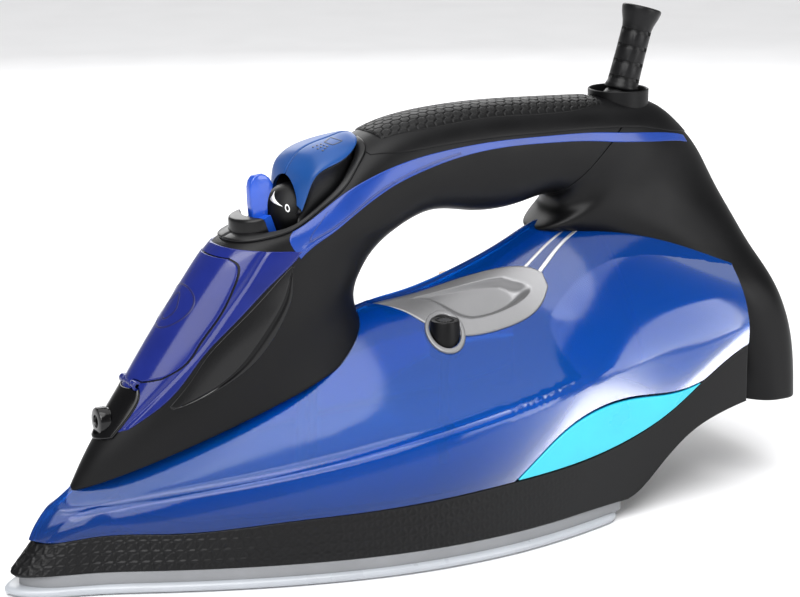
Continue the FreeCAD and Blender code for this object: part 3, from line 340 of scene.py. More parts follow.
def apply_modifiers(piece):
    graph = bpy.context.evaluated_depsgraph_get()
    mesh = bpy.data.meshes.new_from_object(piece.evaluated_get(graph), depsgraph=graph)
    piece.modifiers.clear()
    piece.data = mesh


def join(name, pieces):
    """One object from several meshes that share a material."""
    work = bmesh.new()
    for piece in pieces:
        work.from_mesh(piece.data)
        bpy.data.objects.remove(piece)
    mesh = bpy.data.meshes.new(name)
    work.to_mesh(mesh)
    work.free()
    piece = bpy.data.objects.new(name, mesh)
    bpy.context.scene.collection.objects.link(piece)
    return piece


def lathe(name, profile, at, axis=(0, 0, 1), count=64):
    """Solid of revolution: profile is (radius, height) from the axis round to the axis again."""
    base = np.array(at, float)
    up = Vector(axis).normalized()
    turn = up.to_track_quat("Z", "Y").to_matrix()
    cells = []
    for k in range(count):
        angle = 2 * math.pi * k / count
        for r, h in profile:
            offset = turn @ Vector((r * math.cos(angle), r * math.sin(angle), h))
            cells.append(base + np.array(offset))
    rows = len(profile)
    faces = []
    for k in range(count):
        m = (k + 1) % count
        for j in range(rows - 1):
            faces.append((k * rows + j, m * rows + j, m * rows + j + 1, k * rows + j + 1))
    return make_object(name, cells, faces)


def bore(r, low, high, at, axis=(0, 0, 1), count=64):
    """Cylinder for cutting a round hole, from low to high along the axis."""
    return lathe("tool", [(0, low), (r, low), (r, high), (0, high)], at, axis, count)


def prism(name, outline, y0, y1):
    """Prism across the iron from a closed side outline of (station, z) points."""
    n = len(outline)
    cells = [(s, y, z) for y in (y0, y1) for s, z in outline]
    faces = [tuple(range(n)), tuple(range(2 * n - 1, n - 1, -1))]
    faces += [(k, (k + 1) % n, n + (k + 1) % n, n + k) for k in range(n)]
    return make_object(name, cells, faces, smooth=False)


def soften(piece, width, segments=3, angle=35):
    """Rounds the sharp edges of a piece by width mm."""
    modifier = piece.modifiers.new("bevel", "BEVEL")
    modifier.width = width * MM
    modifier.segments = segments
    modifier.limit_method = "ANGLE"
    modifier.angle_limit = math.radians(angle)
    modifier.harden_normals = False
    apply_modifiers(piece)
    for polygon in piece.data.polygons:
        polygon.use_smooth = True
    return piece


def sharpen(piece, angle=40):
    """Smooth shading with hard creases over that angle, in degrees."""
    work = bmesh.new()
    work.from_mesh(piece.data)
    for face in work.faces:
        face.smooth = True
    for edge in work.edges:
        edge.smooth = len(edge.link_faces) == 2 and edge.calc_face_angle(0) < math.radians(angle)
    work.to_mesh(piece.data)
    work.free()
    return piece


# ---------------------------------------------------------------- materials
def shader(name, color, roughness, metallic=0.0, transmission=0.0, coat=0.0, ior=1.5, specular=.5):
    material = bpy.data.materials.new(name)
    material.use_nodes = True
    surface = material.node_tree.nodes["Principled BSDF"]
    surface.inputs["Base Color"].default_value = (*color, 1)
    surface.inputs["Roughness"].default_value = roughness
    surface.inputs["Metallic"].default_value = metallic
    surface.inputs["Transmission Weight"].default_value = transmission
    surface.inputs["Coat Weight"].default_value = coat
    surface.inputs["Coat Roughness"].default_value = .06
    surface.inputs["IOR"].default_value = ior
    surface.inputs["Specular IOR Level"].default_value = specular
    return material


def add(tree, kind, **inputs):
    node = tree.nodes.new(kind)
    for name, value in inputs.items():
        node.inputs[name.replace("_", " ")].default_value = value
    return node


def noise(tree, pitch, detail=3.0):
    """Noise whose blobs are about pitch mm across, over the object's own coordinates."""
    place = tree.nodes.new("ShaderNodeTexCoord")
    texture = add(tree, "ShaderNodeTexNoise", Scale=1 / (pitch * MM), Detail=detail)
    tree.links.new(place.outputs["Object"], texture.inputs["Vector"])
    return texture


def spread(tree, source, low, high):
    """Maps a noise from 0.3 to 0.7 onto low to high."""
    ramp = add(tree, "ShaderNodeMapRange", From_Min=.3, From_Max=.7, To_Min=low, To_Max=high)
    tree.links.new(source, ramp.inputs["Value"])
    return ramp.outputs["Result"]


def grain(material, pitch, height, smear=.04, tint=.12, patch=14.0):
    """Fine bump of that pitch and height in mm, with uneven gloss and slightly uneven colour."""
    tree = material.node_tree
    surface = tree.nodes["Principled BSDF"]
    fine = noise(tree, pitch, 2.0)
    bump = add(tree, "ShaderNodeBump", Strength=.6, Distance=height * MM)
    tree.links.new(fine.outputs["Fac"], bump.inputs["Height"])
    tree.links.new(bump.outputs["Normal"], surface.inputs["Normal"])
    broad = noise(tree, patch, 4.0)
    rough = surface.inputs["Roughness"].default_value
    gloss = spread(tree, broad.outputs["Fac"], max(rough - smear, .02), rough + smear)
    tree.links.new(gloss, surface.inputs["Roughness"])
    color = tuple(surface.inputs["Base Color"].default_value)
    blend = tree.nodes.new("ShaderNodeMix")
    blend.data_type = "RGBA"
    blend.inputs["A"].default_value = tuple(c * (1 - tint) for c in color[:3]) + (1,)
    blend.inputs["B"].default_value = tuple(min(c * (1 + tint), 1) for c in color[:3]) + (1,)
    tree.links.new(spread(tree, broad.outputs["Fac"], 0, 1), blend.inputs["Factor"])
    tree.links.new(blend.outputs["Result"], surface.inputs["Base Color"])
    return material


def brushed(material, pitch, height, smear=.08):
    """Fine scratches along the iron's length."""
    grain(material, pitch, height, smear)
    tree = material.node_tree
    for texture in [n for n in tree.nodes if n.type == "TEX_NOISE" and n.inputs["Scale"].default_value > 200]:
        link = texture.inputs["Vector"].links[0]
        stretch = add(tree, "ShaderNodeMapping", Scale=(.06, 1, 1))
        tree.links.new(link.from_socket, stretch.inputs["Vector"])
        tree.links.new(stretch.outputs["Vector"], texture.inputs["Vector"])
    return material


def tank_plastic():
    """Clear blue moulding, its colour ramped by height: darker and less saturated at the foot, lightest at
    mid height, deep blue at the ridge, with a broad noise wobbling the bands and the gloss. The light mid
    band is a painted highlight of the lamps and the darker foot is painted shade.
    """
    material = shader("tank_blue", (.002, .105, .50), .10, transmission=.7, coat=0, ior=1.46, specular=.12)
    tree = material.node_tree
    surface = tree.nodes["Principled BSDF"]
    place = tree.nodes.new("ShaderNodeTexCoord")
    split = tree.nodes.new("ShaderNodeSeparateXYZ")
    tree.links.new(place.outputs["Object"], split.inputs["Vector"])
    ramp = tree.nodes.new("ShaderNodeValToRGB")
    level = add(tree, "ShaderNodeMapRange", From_Min=.018, From_Max=.105, To_Min=0, To_Max=1)
    cloud = noise(tree, 40.0, 2.0)
    shift = tree.nodes.new("ShaderNodeMath")
    shift.operation = "MULTIPLY_ADD"
    shift.inputs[1].default_value = .012
    tree.links.new(cloud.outputs["Fac"], shift.inputs[0])
    tree.links.new(split.outputs["Z"], shift.inputs[2])
    tree.links.new(shift.outputs["Value"], level.inputs["Value"])
    tree.links.new(level.outputs["Result"], ramp.inputs["Fac"])
    # Ramp colours by height: painted shade low down, a painted highlight band at mid height, deep blue above.
    painted_light_stops = ramp.color_ramp.elements
    painted_light_stops[0].position = 0
    painted_light_stops[0].color = (.012, .050, .26, 1)
    painted_light_stops[1].position = 1
    painted_light_stops[1].color = (.001, .075, .42, 1)
    middle = painted_light_stops.new(.45)
    middle.color = (.001, .125, .60, 1)
    tree.links.new(ramp.outputs["Color"], surface.inputs["Base Color"])
    fine = noise(tree, 3.0, 1.0)
    bump = add(tree, "ShaderNodeBump", Strength=.25, Distance=.02 * MM)
    tree.links.new(fine.outputs["Fac"], bump.inputs["Height"])
    tree.links.new(bump.outputs["Normal"], surface.inputs["Normal"])
    gloss = spread(tree, cloud.outputs["Fac"], .06, .14)
    tree.links.new(gloss, surface.inputs["Roughness"])
    return material


M = {
    "black": grain(shader("black_satin", (.0022, .0022, .0026), .42, specular=.20), .5, .03),
    "skirt": grain(shader("skirt_black", (.0032, .0032, .0036), .42, specular=.22), .35, .03),
    "grip": grain(shader("grip_black", (.0022, .0022, .0025), .48, specular=.22), .3, .03),
    "gloss": grain(shader("black_gloss", (.0018, .0018, .0022), .14, coat=.1, specular=.3), 6, .01, .03),
    "deck": grain(shader("deck_black", (.0055, .0055, .006), .33, specular=.26), .5, .02),
    "tank": tank_plastic(),
    "cover": grain(shader("indigo_cover", (.009, .018, .165), .14, transmission=.2, coat=.1, specular=.3),
                   5, .01, .03),
    "stripe": grain(shader("blue_stripe", (.012, .046, .26), .18, coat=.1, specular=.35), 4, .01, .03),
    "button": grain(shader("button_blue", (.008, .058, .225), .36, specular=.3), .4, .015),
    "lever": grain(shader("lever_blue", (.015, .10, .62), .14, transmission=.35, coat=.5), 4, .01, .03),
    "cyan": grain(shader("leaf_cyan", (.030, .50, .64), .30, coat=.1), 3, .01, .04, .05),
    "silver": grain(shader("silver_satin", (.42, .42, .43), .34, metallic=.75), .4, .01, .05, .05),
    "silver_paint": grain(shader("silver_trim_paint", (.20, .20, .205), .36, metallic=.5), .4, .01, .04, .05),
    # Near-black for the sheet in the trim's hollow: painted shade and painted reflection, not a dark part.
    "dish": grain(shader("painted_shade_dish", (.012, .012, .013), .30, metallic=.3), .4, .01, .05, .1),
    "sole": grain(shader("sole_coat", (.36, .38, .41), .30, coat=.1), 1.2, .01, .05, .04),
    "heat": grain(shader("heat_grey", (.20, .205, .215), .45), .6, .02, .05, .06),
    "mark": grain(shader("door_mark", (.008, .010, .075), .22, coat=.2), 2, .01, .03),
    # Darker blue for the stripe's outline lines: painted shade of an inset groove.
    "line": grain(shader("stripe_line", (.010, .030, .17), .25), 2, .01, .03),
    "white": grain(shader("print_white", (.80, .80, .80), .40), .4, .01, .04, .03),
    "print": grain(shader("print_dark", (.02, .03, .06), .40), .4, .01, .04, .03),
    "inside": grain(shader("inner_blue", (.010, .028, .13), .35), 2, .02),
    "aluminium": brushed(shader("cast_aluminium", (.50, .51, .52), .42, metallic=1), .6, .03),
    "steel": brushed(shader("sheet_steel", (.56, .56, .57), .30, metallic=1), .3, .015),
    "sheath": grain(shader("element_sheath", (.16, .15, .14), .50, metallic=1), .8, .02),
    "board": grain(shader("insulating_board", (.62, .60, .54), .80), .7, .05),
    "ceramic": grain(shader("ceramic", (.78, .77, .73), .25, coat=.4), 2, .01),
    "silicone": grain(shader("silicone", (.50, .50, .49), .45), 1.5, .02),
    "nylon": grain(shader("white_nylon", (.72, .72, .70), .38), .7, .02),
    "amber": grain(shader("amber_lens", (.80, .30, .03), .12, transmission=.4, coat=.5), 2, .01, .03),
    "cream": grain(shader("cream_block", (.68, .62, .50), .45), .8, .02),
    "circuit": grain(shader("circuit_green", (.02, .16, .06), .30, coat=.4), 1.6, .03, .05, .25, 3.0),
    "rubber": grain(shader("sleeve_rubber", (.003, .003, .0035), .36, specular=.25), .6, .02),
}


def finish_piece(piece, material, body_name="body", nodes=()):
    piece.data.materials.clear()
    piece.data.materials.append(M[material])
    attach(piece, body_name)
    if nodes:
        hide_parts(*nodes)
    return piece


# ---------------------------------------------------------------- base
def sole_ring(inset, z):
    """Closed outline of the soleplate moved inward, with its rear corners rounded."""
    share = np.linspace(0, 1, 90)
    s, h = np.moveaxis(sole_edge(share), -1, 0)
    s = s + inset * 2.2 * np.maximum(0, 1 - s / 120)
    h = np.maximum(h, 0) * (1 - inset / 56)
    corner = 7.0
    end = 220 - inset
    into = np.maximum(0, s - end + corner) / corner
    h = h - corner * (1 - np.sqrt(np.maximum(0, 1 - into ** 2)))
    s = np.minimum(s, end)
    far = [(a, b, z) for a, b in zip(s, h)]
    near = [(a, -b, z) for a, b in zip(s[::-1], h[::-1])][:-1]
    return far + near


def soleplate():
    profile = [(4.0, 0), (1.5, .12), (.55, .5), (.1, 1.1), (0, 1.8), (.12, 2.4), (.5, 2.85), (1.3, 3.1),
               (4.0, 3.2)]
    rings = [sole_ring(inset, z) for inset, z in profile]
    count = len(rings[0])
    cells = [q for ring in rings for q in ring]
    faces = []
    for k in range(len(rings) - 1):
        for j in range(count):
            m = (j + 1) % count
            faces.append((k * count + j, k * count + m, (k + 1) * count + m, (k + 1) * count + j))
    faces.append(tuple(range(count)))
    faces.append(tuple(range((len(rings) - 1) * count, len(rings) * count)))
    piece = make_object("soleplate_visual", cells, faces)
    holes = []
    for s, y in steam_ports():
        holes.append(bore(1.5, -1, 5, (s, y, 0), count=20))
    cut(piece, join("ports", holes))
    return finish_piece(sharpen(piece), "sole", "body", ["soleplate"])


def steam_ports():
    ports = []
    for k in range(9):
        s, h = sole_edge(.20 + .07 * k)
        ports += [(s + 4, .72 * h), (s + 4, -.72 * h)]
    for k in range(3):
        ports += [(34 + 7 * k, 3.2 + 1.2 * k), (34 + 7 * k, -3.2 - 1.2 * k)]
    return ports


def star_strokes(along, up):
    """Height share of a raised star pattern: short strokes between the points of a triangle net."""
    pitch = 4.0
    rise = pitch * math.sqrt(3) / 2
    height = np.zeros_like(along)
    for turn in (0, 60, 120):
        c, s = math.cos(math.radians(turn)), math.sin(math.radians(turn))
        x, y = along * c + up * s, -along * s + up * c
        row = np.round(y / rise)
        off = abs(y - row * rise)
        x = (x + row * pitch / 2) / pitch
        gap = abs(x - np.round(x))
        stroke = np.clip((.36 - off) / .16, 0, 1) * np.clip((gap - .10) / .05, 0, 1)
        height = np.maximum(height, stroke)
    return height


def skirt():
    def skin(a, b):
        return body((2 * np.asarray(a, float) - 1) * BODY_END, b)

    line = np.linspace(0, 1, 400)
    run = np.concatenate([[0], np.cumsum(np.linalg.norm(np.diff(skin(line, .5), axis=0), axis=-1))])

    def relief(a, b, points):
        along = abs(np.interp(a, line, run) - run[-1] / 2)
        strokes = star_strokes(along, points[..., 2])
        s = points[..., 0]
        fade = np.clip((205 - s) / 70, 0, 1)
        edge = np.clip((1 - abs(2 * b - 1)) * 9, 0, 1)
        return .32 * strokes * fade * edge - .16 * edge

    piece = plate("lower_skirt_visual", skin, -SHELL, 0, na=1250, nb=34, edge=.5, relief=relief)
    return finish_piece(piece, "skirt", "body", ["lower_skirt"])


def leaf(side, label):
    def skin(a, b):
        p = LEAF_SPAN[0] + (LEAF_SPAN[1] - LEAF_SPAN[0]) * a
        q = body(p, 1.015 + (leaf_rise(p) - 1.035) * b)
        q[..., 1] *= side
        return q
    piece = plate("light_leaf_visual_" + label, skin, -1.7, .12, na=70, nb=14, edge=.35)
    return finish_piece(piece, "cyan", "body", ["light_leaf_" + label])


def tank_low(p):
    p = abs(p)
    low = np.full_like(p, 1.015)
    inside = (p >= LEAF_SPAN[0] - .006) & (p <= LEAF_SPAN[1] + .006)
    return np.where(inside, np.maximum(low, leaf_rise(p) + .02), low)


def tank():
    """Both sides of the tank in one wall, from the near foot over the ridge to the far foot."""
    share = np.linspace(0, 1, 150) ** 1.25 * BODY_END
    rise = 1 - (1 - np.linspace(0, 1, 44)) ** 1.15
    p = np.repeat(share[:, None], len(rise), 1)
    t = tank_low(p) + (3 - tank_low(p)) * rise[None, :]
    outer = body(p, t)
    ahead = body(np.minimum(p + 1e-3, 1), t) - body(np.maximum(p - 1e-3, 1e-5), t)
    above = body(p, np.minimum(t + 1e-3, 3)) - body(p, t - 1e-3)
    n = np.cross(ahead, above)
    n[..., 1] = np.abs(n[..., 1])
    flat = (p == 0) | (t > 2.995)
    slope = np.where((p == 0)[..., None], above, ahead)
    upright = np.stack([-slope[..., 2], 0 * slope[..., 2], slope[..., 0]], -1)
    upright = np.where(upright[..., 2:] < 0, -upright, upright)
    n = np.where(flat[..., None], upright, n)
    n = n / np.maximum(np.linalg.norm(n, axis=-1, keepdims=True), 1e-9)
    inner = outer - n * TANK_WALL
    inner[..., 1] = np.where(flat, 0, np.maximum(inner[..., 1], 0))
    rows, columns = p.shape
    mirror = np.array([1, -1, 1])
    wide_out = np.concatenate([outer * mirror, outer[:, -2::-1]], 1)
    wide_in = np.concatenate([inner * mirror, inner[:, -2::-1]], 1)
    columns = wide_out.shape[1]
    cells = np.concatenate([wide_out.reshape(-1, 3), wide_in.reshape(-1, 3)])
    under = rows * columns
    faces = []
    for i in range(rows - 1):
        for j in range(columns - 1):
            quad = (i * columns + j, (i + 1) * columns + j, (i + 1) * columns + j + 1, i * columns + j + 1)
            faces += [quad, tuple(reversed([q + under for q in quad]))]
    for i in range(rows - 1):
        for j in (0, columns - 1):
            a, b = i * columns + j, (i + 1) * columns + j
            faces.append((a, a + under, b + under, b))
    for j in range(columns - 1):
        a = (rows - 1) * columns + j
        faces.append((a, a + 1, a + 1 + under, a + under))
    return make_object("tank_visual", cells, faces, weld=2e-5)


def block():
    """Closed solid of everything inside the body skin, for cutting other pieces to it."""
    share = np.linspace(0, 1, 110) ** 1.2 * .995
    level = np.linspace(0, 3, 40)
    near = body(share[:, None], level[None, :])
    foot = near[:, :1] * np.array([1, 1, 0]) + np.array([0, 0, -5.0])
    near = np.concatenate([foot, near], 1)
    ring = np.concatenate([near * np.array([1, -1, 1]), near[:, -2::-1]], 1)
    rows, columns = ring.shape[:2]
    cells = ring.reshape(-1, 3)
    faces = []
    for i in range(rows - 1):
        for j in range(columns):
            m = (j + 1) % columns
            faces.append((i * columns + j, (i + 1) * columns + j, (i + 1) * columns + m, i * columns + m))
    faces.append(tuple((rows - 1) * columns + j for j in range(columns)))
    return make_object("tool", cells, faces, weld=2e-5)


# ---------------------------------------------------------------- console trim
CLEAN_AT = (159.5, -19.5)
CLEAN_HOLE = 5.6
LENS_AT = (182, 17)
LENS_HOLE = 2.7
TRIM_INNER = [(.478, 2.985), (.519, 2.95), (.57, 2.91), (.608, 2.86), (.644, 2.79), (.672, 2.70),
              (.685, 2.62)]
TRIM_OUTER = [(.478, 2.965), (.512, 2.77), (.53, 2.63), (.556, 2.52), (.59, 2.47), (.64, 2.45), (.685, 2.54)]


def tank_side(side):
    def skin(p, t):
        q = body(p, np.minimum(t, 2.99))
        q[..., 1] *= side
        return q
    return skin


def tank_piece():
    piece = tank()
    scoops = []
    for side in (1, -1):
        skin = ribbon(tank_side(side), curve(TRIM_INNER), curve(TRIM_OUTER))
        scoops.append(plate("tool", skin, -4.6, 2.5, na=40, nb=14, edge=.2))
    cut(piece, *scoops, bore(CLEAN_HOLE, -12, 12, (*CLEAN_AT, 73)), bore(LENS_HOLE, -12, 12, (*LENS_AT, 80)))
    return finish_piece(sharpen(piece, 50), "tank", "body", ["tank_shell"])


def scoop_depth(a, b):
    """Depth share of the spoon-shaped dish in the trim, deepest towards its rear."""
    x = (a - .60) / .37
    y = (b - .46) / .30
    narrow = np.clip(.45 + .75 * (a - .2) / .6, .12, 1.05)
    r = np.sqrt(np.where(x > 0, (x * 1.35) ** 2, (x * .90) ** 2) + (y / narrow) ** 2)
    bowl = np.clip((1.0 - r) / .30, 0, 1)
    return bowl * bowl * (3 - 2 * bowl) * np.clip((a - .12) / .7, 0, 1)


def console_trim(side, label):
    skin = ribbon(tank_side(side), curve(TRIM_INNER), curve(TRIM_OUTER))

    def relief(a, b, points):
        return -3.6 * scoop_depth(a, b)

    piece = plate("console_trim_visual_" + label, skin, -.2, 1.0, na=150, nb=70, edge=.6, relief=relief,
                  foot=lambda a, b, q: -4.2 * np.clip(scoop_depth(a, b) * 1.6, 0, 1))
    if side < 0:
        hole = bore(CLEAN_HOLE, -12, 12, (*CLEAN_AT, 73))
    else:
        hole = bore(LENS_HOLE, -12, 12, (*LENS_AT, 74))
    cut(piece, hole)
    finish_piece(sharpen(piece, 50), "silver_paint", "body", ["console_trim_" + label])
    dish(skin, label)


def dish(skin, label):
    """Near-black sheet lining the trim's spoon-shaped dish: painted shade and painted reflection of the
    hollow, not a part of its own.
    """
    def place(a, b):
        x = 1.10 * (-.98 + 1.64 * np.asarray(a, float))
        along = .60 + .37 * x
        narrow = np.clip(.45 + .75 * (along - .2) / .6, .12, 1.05)
        stretch = np.where(x > 0, 1.35, .90)
        half = .90 * narrow * np.sqrt(np.maximum(1 - (stretch * x) ** 2, .0025))
        return along, .46 + .30 * half * (2 * np.asarray(b, float) - 1)

    def lining(a, b):
        return skin(*place(a, b))

    def relief(a, b, points):
        return -3.6 * scoop_depth(*place(a, b))

    piece = plate("painted_shade_lining_" + label, lining, -.9, .14, na=90, nb=30, edge=.12,
                  relief=relief, foot=relief)
    return finish_piece(sharpen(piece, 50), "dish", "body")


STRIP_LINES = (([(.668, 2.715), (.69, 2.745), (.717, 2.775), (.748, 2.80)],
                [(.670, 2.695), (.692, 2.725), (.719, 2.757), (.75, 2.785)]),
               ([(.676, 2.635), (.697, 2.675), (.723, 2.72), (.754, 2.76)],
                [(.678, 2.61), (.699, 2.65), (.725, 2.70), (.756, 2.742)]))


def trim_strips():
    pieces = []
    for side in (1, -1):
        for near, far in STRIP_LINES:
            skin = ribbon(tank_side(side), curve(near), curve(far))
            pieces.append(plate("strip", skin, -.6, .7, na=24, nb=4, edge=.3))
    return finish_piece(join("trim_strips_visual", pieces), "silver", "body", ["trim_strips"])


def trim_groove():
    pieces = []
    for side in (1, -1):
        near, far = STRIP_LINES[0][1], STRIP_LINES[1][0]
        skin = ribbon(tank_side(side), curve(near), curve(far))
        pieces.append(plate("groove", skin, -.6, .2, na=24, nb=4, edge=.15))
    return finish_piece(join("trim_groove", pieces), "deck", "body")


# ---------------------------------------------------------------- handle
COVER_EDGE = [(1.5, .50), (1.83, .70), (2.87, .89), (3.57, 1.04), (4.59, 1.25), (5.35, 1.40), (5.80, 1.42)]
COVER_FOLD = [(1.6, .44), (1.91, .53), (2.37, .66), (2.93, .79), (3.86, .89), (5.01, .98), (5.9, .96)]
DOOR_SHAPE = [(2.62, .56), (2.72, .68), (3.2, .78), (3.9, .84), (4.6, .84), (5.1, .79), (5.36, .68),
              (5.48, .50)]
DOOR_PIN = (47.4, 67.3)
NOZZLE_Z = 55.4
SURROUND_EDGE = [(1.35, .36), (1.9, .44), (2.3, .42), (2.5, .34)]
GROOVE = [(1.66, .84), (1.61, .98), (1.66, 1.13), (1.86, 1.29), (2.34, 1.43), (3.23, 1.51), (4.5, 1.50),
          (5.25, 1.43)]
INSERT_EDGE = [(1.80, .80), (2.3, .88), (2.87, .93), (3.57, 1.08), (4.59, 1.29), (5.25, 1.40)]
RING_OUTER = [(5.98, 0), (6.12, .57), (6.47, .78), (7.14, .80), (7.95, .76), (8.8, .80), (9.6, .64),
              (10.05, .44), (10.25, 0)]
RING_INNER = [(6.36, 0), (6.52, .42), (6.85, .60), (7.3, .66), (8, .62), (8.75, .63), (9.4, .5),
              (9.8, .3), (9.95, 0)]
STRIPE_TOP = [(6.95, .84), (7.95, .80), (8.63, .87), (9.3, 1.05), (9.9, 1.18), (10.77, 1.27), (11.85, 1.29),
              (12.86, 1.27), (13.85, 1.27), (15.39, 1.30), (17.11, 1.17), (18.25, .62)]
STRIPE_FOOT = [(5.48, 1.45), (6.3, 1.48), (7.93, 1.40), (9.04, 1.45), (10.49, 1.51), (11.74, 1.47),
               (12.83, 1.41), (13.86, 1.41), (15.55, 1.49), (17.34, 1.31), (18.5, .66)]
PAD_EDGE = [(10.45, .50), (11.34, .72), (12.8, .73), (14.67, .71), (15.3, .55)]
LEVER_AT = (109.5, 0, 119.5)
LEVER_LEAN = math.radians(20)
LEVER_AXIS = (-math.sin(LEVER_LEAN), 0, math.cos(LEVER_LEAN))
DOME_R = 10.2
PUMP_AT = (121, 7.5)
BUTTON_TRAVEL = 3.0
RELIEF_AT = (247.0, 0, 146.0)
RELIEF_LEAN = math.radians(16)


def across(edge):
    """Patch on the handle loop from an edge's near side to its far side."""
    return ribbon(loop, curve([(u, -v) for u, v in edge]), curve(edge))


def loop_side(side, top, foot):
    """Patch on one side of the handle loop, between two edges given for the far side."""
    skin = ribbon(loop, curve(top), curve(foot))
    return skin if side > 0 else flip(skin)


def ring_skin(u0, u1):
    return lambda a, b: loop(u0 + (u1 - u0) * np.asarray(b, float), math.pi * (2 * np.asarray(a, float) - 1))


def well_tools():
    """Room in the handle for the pads and the lever inside the ring, and for the cord swivel."""
    deck = plate("tool", across(RING_INNER), -4.5, 6, na=90, nb=24, edge=.3)
    return [deck, cup_tool()]


def cup_tool():
    return bore(11.5, -9.2, 12, RELIEF_AT)


def handle_shell():
    skin = ring_skin(0, SEAM_ROW - .01)
    piece = plate("handle_shell_visual", skin, -SHELL, 0, na=128, nb=150, edge=.5, closed=True)
    cut(piece, block(), *well_tools())
    return finish_piece(sharpen(piece, 35), "black", "body", ["handle_shell"])


def rear_cover():
    skin = ring_skin(SEAM_ROW + .01, 25)
    piece = plate("rear_cover_visual", skin, -SHELL, 0, na=128, nb=110, edge=.5, closed=True)
    cut(piece, block(), cup_tool())
    return finish_piece(sharpen(piece, 35), "black", "body", ["rear_cover"])


def handle_top():
    edge = [(9.95, .66), (10.4, .98), (11.2, 1.17), (12.9, 1.21), (14.6, 1.22), (16.0, 1.2), (17.1, 1.08),
            (18.1, .62), (18.4, .3)]
    piece = plate("handle_top_visual", across(edge), -1.5, .28, na=150, nb=60, edge=.5)
    cut(piece, *well_tools())
    return finish_piece(sharpen(piece, 35), "black", "body", ["handle_top"])


def hex_cells(along, across_, pitch):
    """Height share of raised hexagons with grooves between them."""
    rise = pitch * math.sqrt(3) / 2
    best = np.full_like(along, 1e9)
    for shift in (0, 1):
        cx = (np.round(along / pitch - shift / 2) + shift / 2) * pitch
        cy = (np.round(across_ / (2 * rise) - shift / 2) + shift / 2) * 2 * rise
        dx, dy = abs(along - cx), abs(across_ - cy)
        best = np.minimum(best, np.maximum(dx, dx / 2 + dy * math.sqrt(3) / 2))
    return np.clip((pitch / 2 - best) / .35, 0, 1)


def grip_pad():
    skin = across(PAD_EDGE)

    def relief(a, b, points):
        edge = np.clip((1 - abs(2 * a - 1)) * 30, 0, 1) * np.clip((1 - abs(2 * b - 1)) * 8, 0, 1)
        return .38 * hex_cells(points[..., 0], points[..., 1] * 1.15, 3.6) * edge

    piece = plate("grip_pad_visual", skin, -.8, .42, na=330, nb=100, edge=.5, relief=relief)
    return finish_piece(piece, "grip", "body", ["grip_pad"])


def side_stripe(side, label):
    def relief(a, b, points):
        ends = np.clip((.33 - a) / .02, 0, 1) * np.clip((a - .02) / .01, 0, 1)
        return -.22 * np.clip(1 - abs(b - .86) / .035, 0, 1) * ends

    skin = loop_side(side, STRIPE_TOP, STRIPE_FOOT)
    piece = plate("side_stripe_visual_" + label, skin, -1.2, .34, na=200, nb=26, edge=.3, relief=relief)
    return finish_piece(piece, "stripe", "body", ["side_stripe_" + label])


def stripe_lines(side, label):
    """Thin darker blue lines laid along the stripe's front half: painted shade of the stripe's inset outline.
    """
    stripe = ribbon(lambda u, v: np.stack([u, v], -1), curve(STRIPE_TOP), curve(STRIPE_FOOT))
    route = [(.46, .60), (.34, .80), (.22, .84), (.12, .85), (.045, .85), (.075, .50), (.105, .17),
             (.2, .17), (.32, .17)]
    pieces = []
    for part in (route[:5], route[4:7], route[6:]):
        line = np.array([stripe(np.array(a), np.array(b)) for a, b in part])
        half = np.array([.022, .004] if len(part) == 3 else [0, .022])
        skin = loop_side(side, [tuple(q) for q in line - half], [tuple(q) for q in line + half])
        pieces.append(plate("line", skin, .1, .40, na=60, nb=3, edge=.06))
    return finish_piece(join("stripe_lines_" + label, pieces), "line", "body")


def side_insert(side, label):
    def relief(a, b, points):
        return -.30 * np.clip(1 - abs(b - .80) / .10, 0, 1)

    skin = loop_side(side, INSERT_EDGE, GROOVE)
    piece = plate("side_insert_visual_" + label, skin, -1.8, .18, na=90, nb=40, edge=.4, relief=relief)
    return finish_piece(piece, "gloss", "body", ["side_insert_" + label])


def knuckle(y, length):
    """Hinge knuckle round the door's pin, from y on."""
    s, z = DOOR_PIN
    profile = [(0, 0), (1.5, 0), (1.7, .2), (1.7, length - .2), (1.5, length), (0, length)]
    return lathe("knuckle", profile, (s, y, z), (0, 1, 0), 32)


def front_cover():
    skin = across(COVER_EDGE)
    hole = across([(u + (.03 if k > 3 else -.03), v + .025) for k, (u, v) in enumerate(DOOR_SHAPE)])
    fold = curve(COVER_FOLD)
    line = np.linspace(0, 1, 300)
    fold_u, fold_v = np.moveaxis(fold(line), -1, 0)

    def relief(a, b, points):
        q_near = curve([(u, -v) for u, v in COVER_EDGE])(a)
        q = q_near * (1 - b[..., None]) + curve(COVER_EDGE)(a) * b[..., None]
        gap = (abs(q[..., 1]) - np.interp(q[..., 0], fold_u, fold_v)) * 18
        return -.55 * np.exp(-(gap / .9) ** 2) - .25 * np.clip(gap / 2, 0, 1)

    piece = plate("front_cover_visual", skin, -1.5, .6, na=150, nb=120, edge=.5, relief=relief)
    cut(piece, plate("tool", hole, -5, 4, na=60, nb=20, edge=.3),
        plate("tool", across(SURROUND_EDGE), -5, 5, na=30, nb=14, edge=.3))
    bosses = [knuckle(-6.2, 2.9), knuckle(3.3, 2.9)]
    piece = join("front_cover_visual", [piece] + bosses)
    return finish_piece(sharpen(piece, 35), "cover", "body", ["front_cover"])


def on_door(along, across_):
    """Spot on the door's face: mm uphill and sideways from the mark's centre."""
    return np.array([4.18 + along / 17.0, across_ / 19.0])


